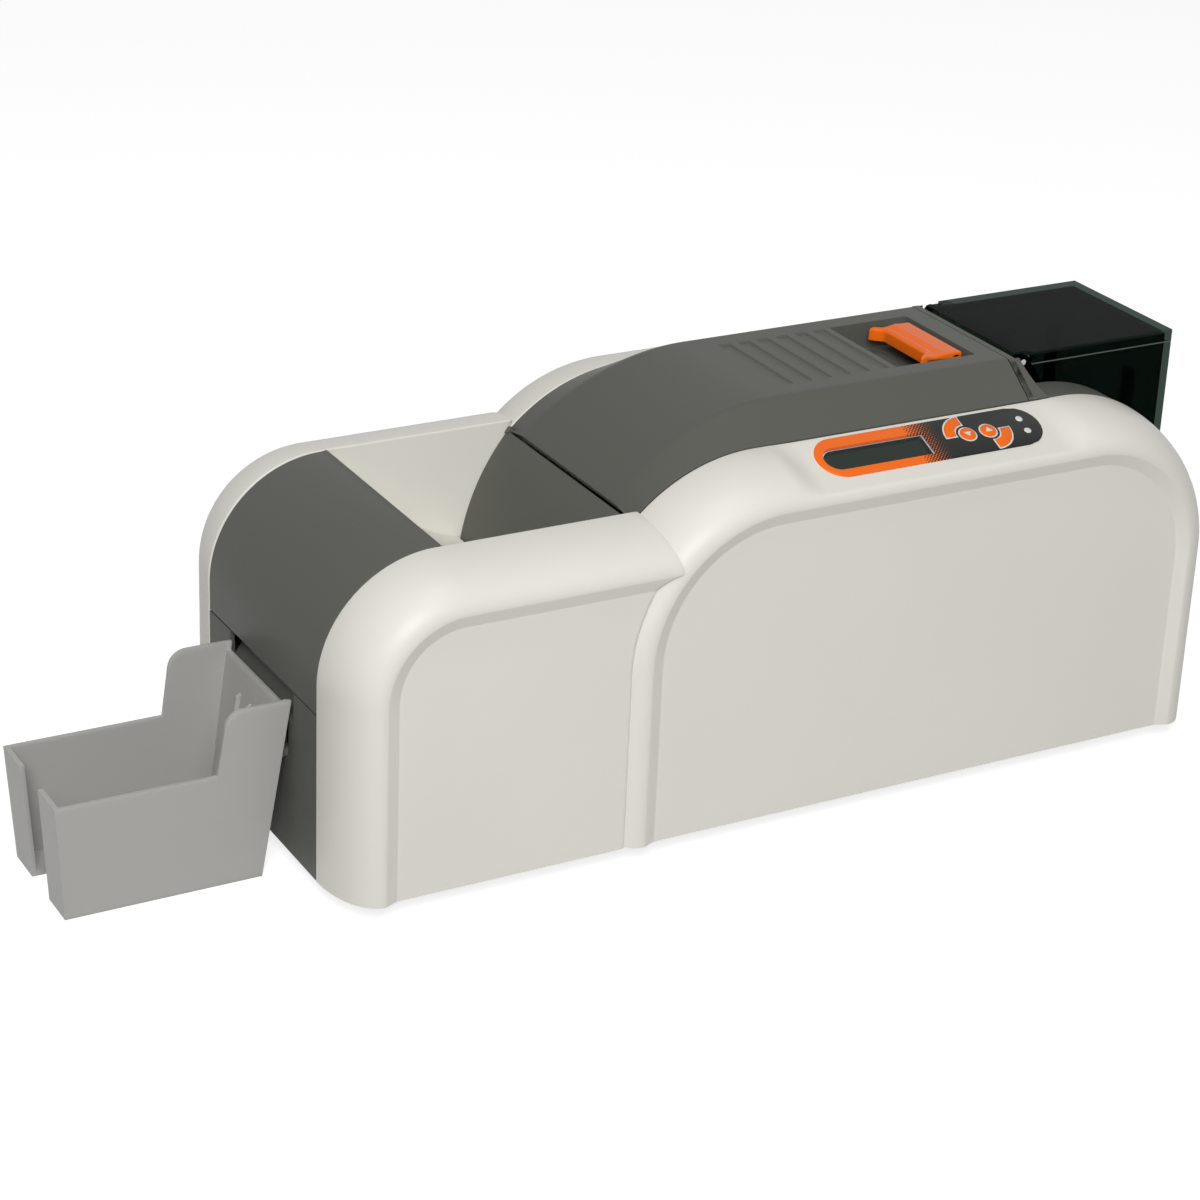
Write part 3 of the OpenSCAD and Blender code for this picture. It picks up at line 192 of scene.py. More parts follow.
def ridge_profile(lip=0.8):
    """Inset d from the outline and depth |y| of the shell's section: a small lip at the inner wall,
    d = RIDGE_WIDE (1 - cos a), y = INNER_Y + RIDGE_DEEP sin a over the ridge, then a bevel 7.5 wide
    and 2.8 deep that falls straight between its first and last twelfth, eased by 0.01 cos(pi s)."""
    t = np.linspace(0, np.pi / 2, 6)
    a = np.linspace(0, np.pi / 2, 30)[1:]
    a = a[np.sin(a) * RIDGE_DEEP > lip + 0.3]
    s = np.r_[0.04, 0.08, 0.12, 0.16, 0.3, 0.5, 0.7, 0.84, 0.88, 0.92, 0.96, 1]
    bevel = np.clip((s - 0.083) / 0.834, 0, 1) + 0.01 * np.cos(np.pi * s)
    d = np.r_[lip * (1 - np.sin(t)), RIDGE_WIDE * (1 - np.cos(a)), RIDGE_WIDE + 7.5 * s]
    bevelled = 95.6 - 2.8 * np.clip(bevel, 0, 1)
    y = np.r_[INNER_Y + lip * (1 - np.cos(t)), INNER_Y + RIDGE_DEEP * np.sin(a), bevelled]
    return d, y


def turn(cx, cz, a0, a1, n):
    """Unit normals of an arc from a0 to a1 degrees, and its centre once for each."""
    a = np.radians(np.linspace(a0, a1, n))
    return np.c_[np.cos(a), np.sin(a)], np.tile([cx, cz], (n, 1))


def main_outline():
    """Points and outward normals round the main unit from its front foot to its back foot."""
    n1, c1 = turn(FRONT_R, FRONT_Z, 180, 90, 44)
    n2, c2 = turn(BACK_X, BACK_Z, 90, 0, 44)
    top = np.linspace(FRONT_R, BACK_X, 140)[1:-1]
    p = np.vstack([[0, 0], [0, 44], c1 + FRONT_R * n1, np.c_[top, np.full(138, TOP_Z)], c2 + BACK_R * n2,
                   [338.5, 46], [338.5, 0]])
    n = np.vstack([[-1, 0], [-1, 0], n1, np.tile([0, 1.0], (138, 1)), n2, [1, 0], [1, 0]])
    return p, n


def soft_max(v, r):
    """max(v, 0) with its corner rounded over a width of 2 r."""
    return np.where(v < -r, 0, np.where(v > r, v, (v + r) ** 2 / (4 * r)))


def main_shell(name, side):
    """Grid of outline stations by section stations, filled flat to a middle point at both edges."""
    p, n = main_outline()
    d, y = ridge_profile()
    at = np.empty((len(p), len(d), 3))
    at[..., 0] = p[:, :1] - d * n[:, :1]
    at[..., 1] = y
    at[..., 2] = p[:, 1:] - d * n[:, 1:]
    keep = np.ones((len(p) - 1, len(d) + 3), bool)
    if side < 0:
        share = 0.5 - 0.5 * np.cos(np.pi * np.clip((84 - abs(at[..., 0] - PAD_X)) / 18, 0, 1))
        top = (n[:, 1] > 0.9999)[:, None]
        above_pad = (at[..., 1] - INNER_Y) * np.tan(PAD_TILT) - (TOP_Z - at[..., 2])
        at[..., 2] -= top * share * soft_max(above_pad, 1.2)

    def towards_middle(rim, shares):
        """Rows between a rim of the shell and the point (170, 0) of the rim's own plane."""
        middle = np.c_[np.full(len(rim), 170), rim[:, 1], np.zeros(len(rim))]
        return np.stack([rim + (middle - rim) * t for t in shares], 1)

    inner = towards_middle(at[:, 0], (1, 0.03))
    outer = towards_middle(at[:, -1], (0.02, 0.5, 1))
    at = np.concatenate([inner, at, outer], 1)
    if side < 0:
        # The slot under the control panel: quads inside it, in the pad's own frame, are left out.
        mid = (at[:-1, :-1] + at[1:, 1:]) / 2
        c, s = np.cos(PAD_TILT), np.sin(PAD_TILT)
        t = c * (PAD_Y - mid[..., 1]) + s * (mid[..., 2] - PAD_Z)
        h = c * (mid[..., 2] - PAD_Z) - s * (PAD_Y - mid[..., 1])
        run = np.maximum(abs(mid[..., 0] - PAD_X) - 49.5, 0)
        keep = ~((np.hypot(run, t) < 11.2) & (abs(t) < 10.6) & (mid[..., 0] < 228.7) & (abs(h) < 2))
    at[..., 1] *= side
    faces = grid(*at.shape[:2], keep=keep if side < 0 else None)
    return piece(name, at, faces, white, node=name, slot="shell_white")


white = finish("shell_white", (0.78, 0.765, 0.70), 0.42, depth=0.00003, ior=1.42)
main_shell("main_shell_near", -1).name = "main_side_near"
main_shell("main_shell_far", 1).name = "main_side_far"

# ---------------------------------------------------------------------------------------------
# Flipper side shells.
# The same white moulding and section, lower. Their right end is cut to follow the main shell's
# ridge, one millimetre away, so the seam runs in an S from the top down to the foot.
# ---------------------------------------------------------------------------------------------
FLIP_X, FLIP_Z, FLIP_R, FLIP_TOP = -74, 96.1, 56.5, 152.6


def main_face(z, y, gap):
    """X of the main unit's front face at height z and depth y, moved out by gap."""
    d = RIDGE_WIDE * (1 - np.sqrt(np.clip(1 - ((y - INNER_Y) / RIDGE_DEEP) ** 2, 0, 1))) - gap
    above = FRONT_R - np.sqrt(np.clip((FRONT_R - d) ** 2 - (z - FRONT_Z) ** 2, 0, None))
    return np.where(z <= FRONT_Z, d, above)


def flipper_shell(name, side):
    """Outline by section grid whose last stations lie on the seam. They roll in by e over the last
    2.2 before it, along the section's own normal; so does the flat panel sheet below the ridge, and
    a strip carries the rolled edge inwards."""
    d, y = ridge_profile()
    run = np.hypot(np.gradient(d), np.gradient(y))
    inward, across = np.gradient(y) / run, -np.gradient(d) / run
    n1, c1 = turn(FLIP_X, FLIP_Z, 180, 90, 44)
    rows = [np.stack([FLIP_X - FLIP_R + d, y, np.full(len(d), z)], -1) for z in (0, 48)]
    r = FLIP_R - d
    rows += [np.stack([c[0] + r * n[0], y, c[1] + r * n[1]], -1) for n, c in zip(n1, c1)]
    end = main_face(FLIP_TOP - d, y, 3.2)
    rows += [np.stack([FLIP_X + (end - FLIP_X) * t, y, FLIP_TOP - d], -1) for t in np.linspace(0, 1, 40)[1:]]
    roll = ((2.2, 0), (1.1, 0.2), (0.4, 0.65), (0, 1.5))
    for back, e in roll[1:] + ((0, 8),):
        deep, side_y = FLIP_TOP - d - e * inward, np.maximum(y + e * across, 61.2)
        rows.append(np.stack([main_face(deep, side_y, 1 + back), side_y, deep], -1))
    at = np.stack(rows)
    m, k = at.shape[:2]
    faces, points, count = grid(m, k), [at.reshape(-1, 3)], m * k

    def add(sheet):
        nonlocal count
        faces.extend(grid(*sheet.shape[:2], first=count))
        points.append(sheet.reshape(-1, 3))
        count += sheet.shape[0] * sheet.shape[1]

    seam_z = np.r_[np.linspace(127.1, 88, 10)[1:], 0]
    path = []
    for i, (back, e) in enumerate(roll + ((0, 8),)):
        down = np.c_[main_face(seam_z, 92.8, 1 + back), np.full(10, 92.8 - e), seam_z]
        path.append(np.vstack([at[m - 5 + i, -1][None], down]))
    add(np.stack(path, 1))
    top, x_seam = at[1:m - 4, -1], path[0][-1, 0]
    corner = np.array([[x_seam, 92.8, top[-1, 2]]])
    left = np.vstack([top[top[:, 0] < x_seam - 0.01], corner])
    right = np.vstack([corner, top[top[:, 0] > x_seam + 0.01]])
    seam_low = np.interp(right[:, 0], path[0][-2::-1, 0], path[0][-2::-1, 2])
    for sheet, low in ((left, np.zeros(len(left))), (right, seam_low)):
        foot = np.c_[sheet[:, :2], low]
        add(np.stack([sheet, sheet + (foot - sheet) * 0.03, foot], 1))
    inner = at[1:, 0]
    add(np.stack([inner, inner * (1, 1, 0)], 1))
    points = np.vstack(points)
    points[:, 1] *= side
    return piece(name, points, faces, white, node=name, slot="shell_white")


flipper_shell("flipper_shell_near", -1).name = "flipper_side_near"
flipper_shell("flipper_shell_far", 1).name = "flipper_side_far"

# ---------------------------------------------------------------------------------------------
# Flipper housing, cover and trough.
# Dark grey box with the card slot, an arc cover hinged at its ridge, and a white trough whose
# curve falls from the ridge to the main unit. Mouldings; the cover turns on two pins.
# ---------------------------------------------------------------------------------------------


def rounded(corners, radii, n=5):
    """The closed outline through corners, each one turned by an arc of its radius."""
    c = np.asarray(corners, float)
    radii = np.broadcast_to(radii, len(c))
    out = []
    for p, q, r, rad in zip(np.roll(c, 1, 0), c, np.roll(c, -1, 0), radii):
        u, v = (p - q) / np.linalg.norm(p - q), (r - q) / np.linalg.norm(r - q)
        half = np.arccos(np.clip(u @ v, -1, 1)) / 2
        if rad <= 0 or half > 1.55:
            out.append(q[None])
            continue
        cut = min(rad / np.tan(half), 0.49 * min(np.linalg.norm(p - q), np.linalg.norm(r - q)))
        t = np.linspace(0, 1, n + 1)[:, None]
        rad = cut * np.tan(half)
        mid = q + (u + v) / np.linalg.norm(u + v) * rad / np.sin(half)
        a, b = q + u * cut - mid, q + v * cut - mid
        w = np.pi - 2 * half
        out.append(mid + (np.sin((1 - t) * w) * a + np.sin(t * w) * b) / np.sin(w))
    return np.vstack(out)


def bar_points(outline, y0, y1, r=0.5, turns=4, ys=()):
    """An outline (x, z) carried along Y; over the last r at each end it moves in by r(1 - cos a)."""
    o = np.asarray(outline, float)
    back, ahead = o - np.roll(o, 1, 0), np.roll(o, -1, 0) - o
    back /= np.linalg.norm(back, axis=1)[:, None] + 1e-12
    ahead /= np.linalg.norm(ahead, axis=1)[:, None] + 1e-12
    t = back + ahead
    t /= np.linalg.norm(t, axis=1)[:, None] + 1e-12
    normal = np.c_[t[:, 1], -t[:, 0]]
    area = np.sum(o[:, 0] * np.roll(o[:, 1], -1) - o[:, 1] * np.roll(o[:, 0], -1))
    normal *= np.sign(area)
    a = np.linspace(0, np.pi / 2, turns + 1)
    inset = np.r_[r * (1 - np.sin(a)), np.zeros(len(ys)), r * (1 - np.sin(a[::-1]))]
    y = np.r_[y0 + r * (1 - np.cos(a)), list(ys), y1 - r * (1 - np.cos(a[::-1]))]
    return np.stack([np.c_[o[:, 0] - i * normal[:, 0], np.full(len(o), v), o[:, 1] - i * normal[:, 1]]
                     for i, v in zip(inset, y)])


def bar(name, outline, y0, y1, material, r=0.5, ys=(), change=None, **kw):
    """A bar along Y with rolled ends; change may move the points before they are meshed."""
    at = bar_points(outline, y0, y1, r, ys=ys)
    if change:
        change(at)
    m, n = at.shape[:2]
    faces = grid(m, n, loop_n=True) + [list(range(n)), list(range((m - 1) * n, m * n))]
    return piece(name, at, faces, material, **kw)


def arc(cx, cz, r, a0, a1, n):
    """Points of an arc from a0 to a1 degrees."""
    a = np.radians(np.linspace(a0, a1, n))
    return np.c_[cx + r * np.cos(a), cz + r * np.sin(a)]


skin = np.vstack([[-127.9, 82.6], [-128.3, 82.2], [-129.9, 82.2], [-130.3, 82.6],
                  arc(FLIP_X, FLIP_Z, 56.3, 180, 90, 60), [-71.5, 152.88], [-71.2, 152.75], [-71.2, 150.4],
                  arc(FLIP_X, FLIP_Z, 53.9, 90, 180, 60)])
bar("flipper_arc_cover", skin, -60.3, 60.3, grey, r=0.6, body="flipper_cover", node="flipper_cover")
for side in (-1, 1):
    bar(f"flipper_knuckle_{'near' if side < 0 else 'far'}", arc(-74.8, 148.6, 3.2, 0, 345, 24),
        *sorted((side * 48, side * 60.0)), grey, r=0.3, body="flipper_cover")
dress(grey, "flipper_housing")


def bezier(p, q, r, n):
    """A quadratic Bezier curve."""
    t = np.linspace(0, 1, n)[:, None]
    p, q, r = (np.array(v, float) for v in (p, q, r))
    return (1 - t) ** 2 * p + 2 * t * (1 - t) * q + t ** 2 * r


falls = bezier((-68.5, 150.2), (-34.2, 104), (-2.2, 97), 40)
under = bezier((-2.2, 93.9), (-34.2, 100.9), (-68.5, 147.1), 40)
bar("valley_trough", np.vstack([falls, under]), -60.3, 60.3, white, r=0.4, node="flipper_trough")

# ---------------------------------------------------------------------------------------------
# Front arch and rear frame.
# Grey mouldings that close the main unit in front of the cover and behind it. The frame's two
# shoulders carry the cover's form down to a deck beside the hopper.
# ---------------------------------------------------------------------------------------------
ARCH_X, ARCH_Z, ARCH_R, COVER_Z = 107.48, 77.3, 110.7, 188.0
PIN_X, PIN_Z = 31.15, 149.08
lip_angle = np.degrees(np.arctan2(PIN_Z - ARCH_Z, PIN_X - ARCH_X))
outer = arc(ARCH_X, ARCH_Z, 109.8, 173.9, lip_angle + 3.3, 60)
inner_arc = arc(ARCH_X, ARCH_Z, 107.4, lip_angle + 3.3, 173.9, 60)
bar("front_arch_panel", np.vstack([outer, inner_arc]), -60.3, 60.3, grey, r=0.6, node="front_arch")
cove = np.vstack([arc(PIN_X, PIN_Z, 9.6, 205, 285, 24), arc(PIN_X, PIN_Z, 10.4, 285, 205, 24)])
bar("front_arch_cove", cove, -58, 58, grey, r=0.2, slot="cover_grey")


def rear_deck(side):
    """Path along the deck and down the back by stations across it. Over the path's flat part the
    height is the cover's shoulder, cut away by an ellipse centred 18.3 behind the cover."""
    flat = np.r_[240.2, 240.6, np.linspace(241.2, 262.4, 60)]
    n2, c2 = turn(BACK_X, BACK_Z, 88, 0, 40)
    r = BACK_R - 0.5
    base_x = np.r_[flat, (c2 + r * n2)[:, 0], 338, 338]
    falling = BACK_Z + np.sqrt(np.clip(r ** 2 - (flat - BACK_X) ** 2, 0, None))
    base_z = np.r_[np.where(flat < BACK_X, TOP_Z - 0.5, falling), (c2 + r * n2)[:, 1], 84.0, 76.5]
    keep = np.r_[True, np.diff(base_x) > 1e-6]
    keep[-2:] = True
    base_x, base_z = base_x[keep], base_z[keep]
    y = np.r_[40.8, 40.9, 41.2, np.linspace(41.8, 59.4, 24), 59.8, 60.1, 60.25, 60.3]
    drop = np.r_[0.5, 0.2, 0.05, np.zeros(24), 0.05, 0.2, 0.4, 0.7]
    shoulder = COVER_Z - (14.3 / 19.3) * soft_max(y - 41, 1.5)
    cut = 189 - 18.4 * np.sqrt(np.clip(1 - ((base_x - 258) / 11.7) ** 2, 0, None))
    cut = np.where(base_x > 258, -1e3, cut)
    high = np.minimum(shoulder[None] + 0 * cut[:, None], cut[:, None])
    z = base_z[:, None] + soft_max(high - base_z[:, None], 0.8)
    wide = np.broadcast_to(y, z.shape)
    at = np.stack([np.broadcast_to(base_x[:, None], z.shape), wide, z - drop], -1).copy()
    at[..., 1] *= side
    return at


for side in (-1, 1):
    at = rear_deck(side)
    deck_name = "rear_deck_near" if side < 0 else "rear_deck_far"
    deck = piece(deck_name, at, grid(*at.shape[:2]), grey, slot="cover_grey")
    if side < 0:
        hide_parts("rear_frame")
    thick = deck.modifiers.new("wall", "SOLIDIFY")
    thick.thickness, thick.offset = 0.0022, -1
band = [[-60.3, 172], [-60.3, 173.7], [-41, COVER_Z], [41, COVER_Z], [60.3, 173.7], [60.3, 172]]
band = rounded(band, [0.1, 0.3, 1.5, 1.5, 0.3, 0.1])
strip_x = (240.2, 240.25, 243.35, 243.4)
strip = np.stack([np.c_[np.full(len(band), x), band[:, 0], band[:, 1]] for x in strip_x])
strip[[0, -1], :, 2] -= 0.15
n = len(band)
piece("rear_strip", strip, grid(4, n, loop_n=True) + [list(range(n)), list(range(3 * n, 4 * n))], grey,
      slot="cover_grey")
bulkhead = rounded([[240.3, 76.6], [242.6, 76.6], [242.6, 172.5], [240.3, 172.5]], 0.2)
bar("rear_bulkhead", bulkhead, -58.3, 58.3, grey)

# ---------------------------------------------------------------------------------------------
# Top cover.
# Grey satin moulding, arched at the front, with a flat top, chamfered sides, six grip grooves
# and the latch pocket. It turns on two pins under its lip.
# ---------------------------------------------------------------------------------------------


def shell_top(x):
    """Height of the side shell's inner edge at x."""
    front = FRONT_Z + np.sqrt(np.clip(FRONT_R ** 2 - (FRONT_R - x) ** 2, 0, None))
    return np.where(x < FRONT_R, front, TOP_Z)


def ramp(v, w):
    """0 below -w, 1 above w, a smooth cubic between."""
    t = np.clip(v / (2 * w) + 0.5, 0, 1)
    return t * t * (3 - 2 * t)


def lines(*spans):
    """Sorted station values: each span is (start, end, count)."""
    return np.unique(np.round(np.concatenate([np.linspace(*s) for s in spans]), 4))


def cover_grid():
    """Stations x round the arch and along the flat top, by y across it: the chamfer starts at the
    crease |y| = 41 + 5 max(0, 1 - (x - 24)/50)^2 and ends on the shell; grooves and pocket sink in."""
    a = np.radians(np.linspace(138.94, 90, 70))
    groove = 123.1 + 10.7 * np.arange(6)
    groove_edges = [(g + e - 0.8, g + e + 0.8, 9) for g in groove for e in (-3, 3)]
    groove_floors = [(g - 3, g + 3, 4) for g in groove]
    flat = lines((108.5, 239.6, 50), (183, 184.6, 9), (227, 228.6, 9), *groove_edges, *groove_floors)
    x = np.r_[ARCH_X + ARCH_R * np.cos(a), flat, 239.7]
    z = np.r_[ARCH_Z + ARCH_R * np.sin(a), np.full(len(flat), COVER_Z), 187.8]
    nx = np.r_[np.cos(a), np.zeros(len(flat) + 1)]
    nz = np.r_[np.sin(a), np.ones(len(flat) + 1)]
    lip_in = 0.5 + (1.9 * np.r_[1, 0, 0, 0]) - 0.5 * np.sin(np.radians([0, 0, 45, 80]))
    x = np.r_[np.full(4, x[0]) - nx[0] * lip_in, x]
    z = np.r_[np.full(4, z[0]) - nz[0] * lip_in, z]
    x[:4] += np.r_[0.0, 0.0, -0.1, -0.05]
    x = np.r_[x, 239.7]
    z = np.r_[z, 185.6]
    half = lines((0, 60.3, 40), (28, 30.4, 13), (36, 50, 30), (59.3, 60.3, 5))
    half = np.r_[half, 60.3, 60.3]
    rim = np.r_[np.zeros(len(half) - 2), 0.5, 2.3]
    rim[half > 59.9] = np.maximum(rim[half > 59.9], 0.12)
    y = np.r_[-half[::-1], half[1:]]
    rim = np.r_[rim[::-1], rim[1:]]
    crease = 41 + 5 * np.clip(1 - (x - 24) / 50, 0, 1) ** 2
    edge = np.minimum(shell_top(np.maximum(x, 24)) + 0.2, z - 2.2)
    slope = (z - edge) / (60.3 - crease)
    out = z[:, None] - slope[:, None] * soft_max(abs(y)[None] - crease[:, None], 2.0) - rim[None]
    flank = ramp(29.0 - abs(y), 0.4)[None]
    for g in groove:
        out -= 0.9 * (ramp(3.0 - abs(x - g), 0.4)[:, None] * flank)
    inside = np.minimum(np.minimum(x - 183.8, 228.1 - x)[:, None], (29.2 - abs(y))[None])
    out -= 13.5 * ramp(inside, 0.45)
    return np.stack([np.broadcast_to(x[:, None], out.shape), np.broadcast_to(y, out.shape), out], -1)


at = cover_grid()
cover = piece("top_cover_skin", at, grid(*at.shape[:2]), grey, body="top_cover", node="top_cover", angle=40)
thick = cover.modifiers.new("wall", "SOLIDIFY")
thick.thickness, thick.offset = 0.0022, -1
for side in (-1, 1):
    far = "near" if side < 0 else "far"
    bar(f"cover_knuckle_{far}", arc(PIN_X, PIN_Z, 3.2, 0, 345, 24), *sorted((side * 48, side * 60.0)), grey,
        r=0.3, body="top_cover")
    bar(f"cover_arm_{far}", [[29.2, 149.1], [33.2, 147.1], [43.2, 163.5], [31.2, 153.5]],
        *sorted((side * 49, side * 52)), grey, r=0.2, body="top_cover")

# ---------------------------------------------------------------------------------------------
# Latch lever.
# Bright orange moulding on a steel pin in the cover's pocket. Its tail lies over the pin, and
# the grip waves up to a finger edge over the well. It turns back against a spring.
# ---------------------------------------------------------------------------------------------
orange = finish("lever_orange", (0.95, 0.165, 0.008), 0.34, ior=1.25)


def finger_scoop(at):
    """Moves the front edge back by 5.4 over the middle of the lever, by 0 at its two ends."""
    near_edge = np.clip((214 - at[..., 0]) / 7.5, 0, 1)
    at[..., 0] += 5.4 * ramp(19.5 - abs(at[..., 1]), 3.2) * near_edge


grip = rounded([[225.9, 187.5], [216.5, 187.7], [210.5, 186.8], [204.6, 187.9], [202.4, 187.2],
                [201.9, 181.5], [204.8, 181.5], [206.5, 185.1], [218.5, 184.5], [225.9, 184.5]],
               [1.0, 3, 3, 1.5, 1.2, 0.6, 1.0, 0.8, 0.8, 0.8])
bar("lever_grip", grip, -23, 23, orange, r=0.8, ys=np.linspace(-22, 22, 45), change=finger_scoop,
    body="latch_lever", node="latch_lever")
bar("lever_hub", arc(222.5, 183.5, 3.2, 0, 345, 24), -23, 23, orange, r=0.4, body="latch_lever")
hook = [[219.5, 183.5], [224.5, 183.5], [224.5, 167.5], [229.6, 165.5], [229.6, 163.5], [219.5, 163.5]]
bar("lever_hook", hook, -5, 5, orange, r=0.3, body="latch_lever")

# ---------------------------------------------------------------------------------------------
# Input hopper.
# Smoked clear acrylic, nearly black in the thick: a box on the chassis with card guides, and a
# lid hinged at its front edge. A light strip along the lower edge of the lid's skirt is a painted
# highlight, the glint of the clear edge.
# ---------------------------------------------------------------------------------------------
smoke = finish("smoke_clear", (0.04, 0.06, 0.05), 0.06, grain=300, depth=0.00001, clear=1.0, ior=1.045)
dress(smoke, "hopper_body", "hopper_lid")
# A light grey finish that paints the glint of the clear lid's edge: a painted highlight.
painted_glint = finish("painted_edge_glint", (0.11, 0.13, 0.115), 0.3, ior=1.3)
for side in (-1, 1):
    # Painted highlight: a light strip 0.5 high along the lower edge of the lid's skirt, the glint
    # of the clear edge.
    section = ((39.6, 182.6), (39.6, 183.1), (40.3, 183.1), (40.3, 182.6))
    skirt = [[x, side * y, z] for x in (255, 338.6) for y, z in section]
    faces = grid(2, 4, loop_n=True) + [[0, 1, 2, 3], [4, 5, 6, 7]]
    piece(f"lid_painted_glint_{'near' if side < 0 else 'far'}", skirt, faces, painted_glint, body="hopper_lid",
          slot="smoke_clear")

# ---------------------------------------------------------------------------------------------
# Output bin.
# Light grey moulding with drafted walls, a low rim at the hand end, a notch for the thumb, and
# three ribs on the back wall. Two hooks hang it in the housing; their dark grey is painted shade.
# ---------------------------------------------------------------------------------------------
bin_grey = finish("bin_grey", (0.42, 0.415, 0.395), 0.42, ior=1.42)
BIN_FLOOR, RIM_LOW, RIM_HIGH = -9.5, 46.7, 77.8


def bin_wall_sheet():
    """Stations round the bin by height. The ring at height z is a rectangle that widens upwards;
    the rim steps from the low end up a rounded shoulder to the high back, and is lower between."""
    shoulder = arc(-153, 68.8, 9, 172, 90, 8)
    rim = np.vstack([np.c_[np.linspace(-240.9, -165.5, 14), np.full(14, RIM_LOW)], [[-163.7, 58.4]], shoulder,
                     np.c_[np.linspace(-153, -130.7, 7)[1:], np.full(6, RIM_HIGH)]])

    def ends(z):
        up = z - BIN_FLOOR
        low_end = -240.9 + 3.6 * (1 - up / (RIM_LOW - BIN_FLOOR))
        return low_end, -130.7 - 13 * (1 - up / (RIM_HIGH - BIN_FLOOR))

    x0, x1 = ends(rim[:, 1])
    along = (rim[:, 0] - x0) / (x1 - x0)
    left = lines((-31, 31, 21), (-11.2, -10.8, 3), (10.8, 11.2, 3)) / 31
    right = np.array([1, 0.935, 0.93, 0.6, 0.2, -0.2, -0.6, -0.93, -0.935, -1])
    side = np.repeat([0, 1, 2, 3], [len(left), len(along), len(right), len(along)])
    v = np.r_[left, along, right, along[::-1]]
    back = np.where(abs(right) > 0.932, RIM_HIGH, RIM_HIGH - 4)
    top = np.r_[np.full(len(left), RIM_LOW), rim[:, 1], back, rim[::-1, 1]]
    share = np.r_[0, 0.03, np.linspace(0.1, 0.9, 6), 0.97, 1][:, None]
    z = BIN_FLOOR + (top[None] - BIN_FLOOR) * share
    half = 31.5 + 3.4 * (z - BIN_FLOOR) / (RIM_HIGH - BIN_FLOOR)
    x0, x1 = ends(z)
    x = np.choose(side, [x0, x0 + v * (x1 - x0), x1, x0 + v * (x1 - x0)])
    y = np.choose(side, [v * half, half, v * half, -half])
    whole = ~((side == 0) & (abs(v * 31) < 11))
    return np.stack([x, y, z], -1), whole


at, whole = bin_wall_sheet()
m, n = at.shape[:2]
shown = whole & np.roll(whole, -1)
faces = grid(m, n, loop_n=True, keep=np.broadcast_to(shown, (m - 1, n)))
bin_box = piece("bin_box", at, faces, bin_grey, body="output_bin", node="output_bin")
thick = bin_box.modifiers.new("wall", "SOLIDIFY")
thick.thickness, thick.offset, thick.use_even_offset = 0.0023, -1, True
edge = bin_box.modifiers.new("edge", "BEVEL")
edge.width, edge.segments, edge.angle_limit = 0.0005, 2, np.radians(60)
plan = rounded([[-237.2, -31.4], [-143.8, -31.4], [-143.8, 31.4], [-237.2, 31.4], [-237.2, 11], [-227, 11],
                [-227, -11], [-237.2, -11]], [0.5, 0.5, 0.5, 0.5, 0.3, 3, 3, 0.3])
n = len(plan)
piece("bin_floor", np.vstack([np.c_[plan, np.full(n, z)] for z in (BIN_FLOOR, BIN_FLOOR + 2.3)]),
      grid(2, n, loop_n=True) + [list(range(n)), list(range(n, 2 * n))], bin_grey, body="output_bin")
rib = [[-146.5, -8.5], [-149.5, -8.5], [-137.7, 60], [-134.7, 62]]
for k, y in enumerate((-12, 0, 12)):
    bar(f"bin_rib_{k}", rib, y - 0.7, y + 0.7, bin_grey, r=0.15, body="output_bin")
hook = [[-136.7, 45], [-136.7, 52], [-125.5, 52], [-125.5, 42], [-127.5, 42], [-127.5, 48.1],
        [-131.7, 48.1]]
# The hooks are part of the light grey moulding; the dark cover grey they take is painted shade, so that they
# sink into the shade between the bin and the housing.
for side in (-1, 1):
    bar(f"bin_hook_{'near' if side < 0 else 'far'}", hook, *sorted((side * 24.2, side * 29.8)), grey, r=0.2,
        body="output_bin", slot="bin_grey")

# ---------------------------------------------------------------------------------------------
# Control panel.
# A printed black overlay with an orange field round the display that breaks up into dots, a
# silver display frame, orange keys ringed in white and two lights. Glued on the sloping pad.
# ---------------------------------------------------------------------------------------------
DOWN_S, UP_S, MID_S, MID_T = 21, 32.6, -29.3, -1


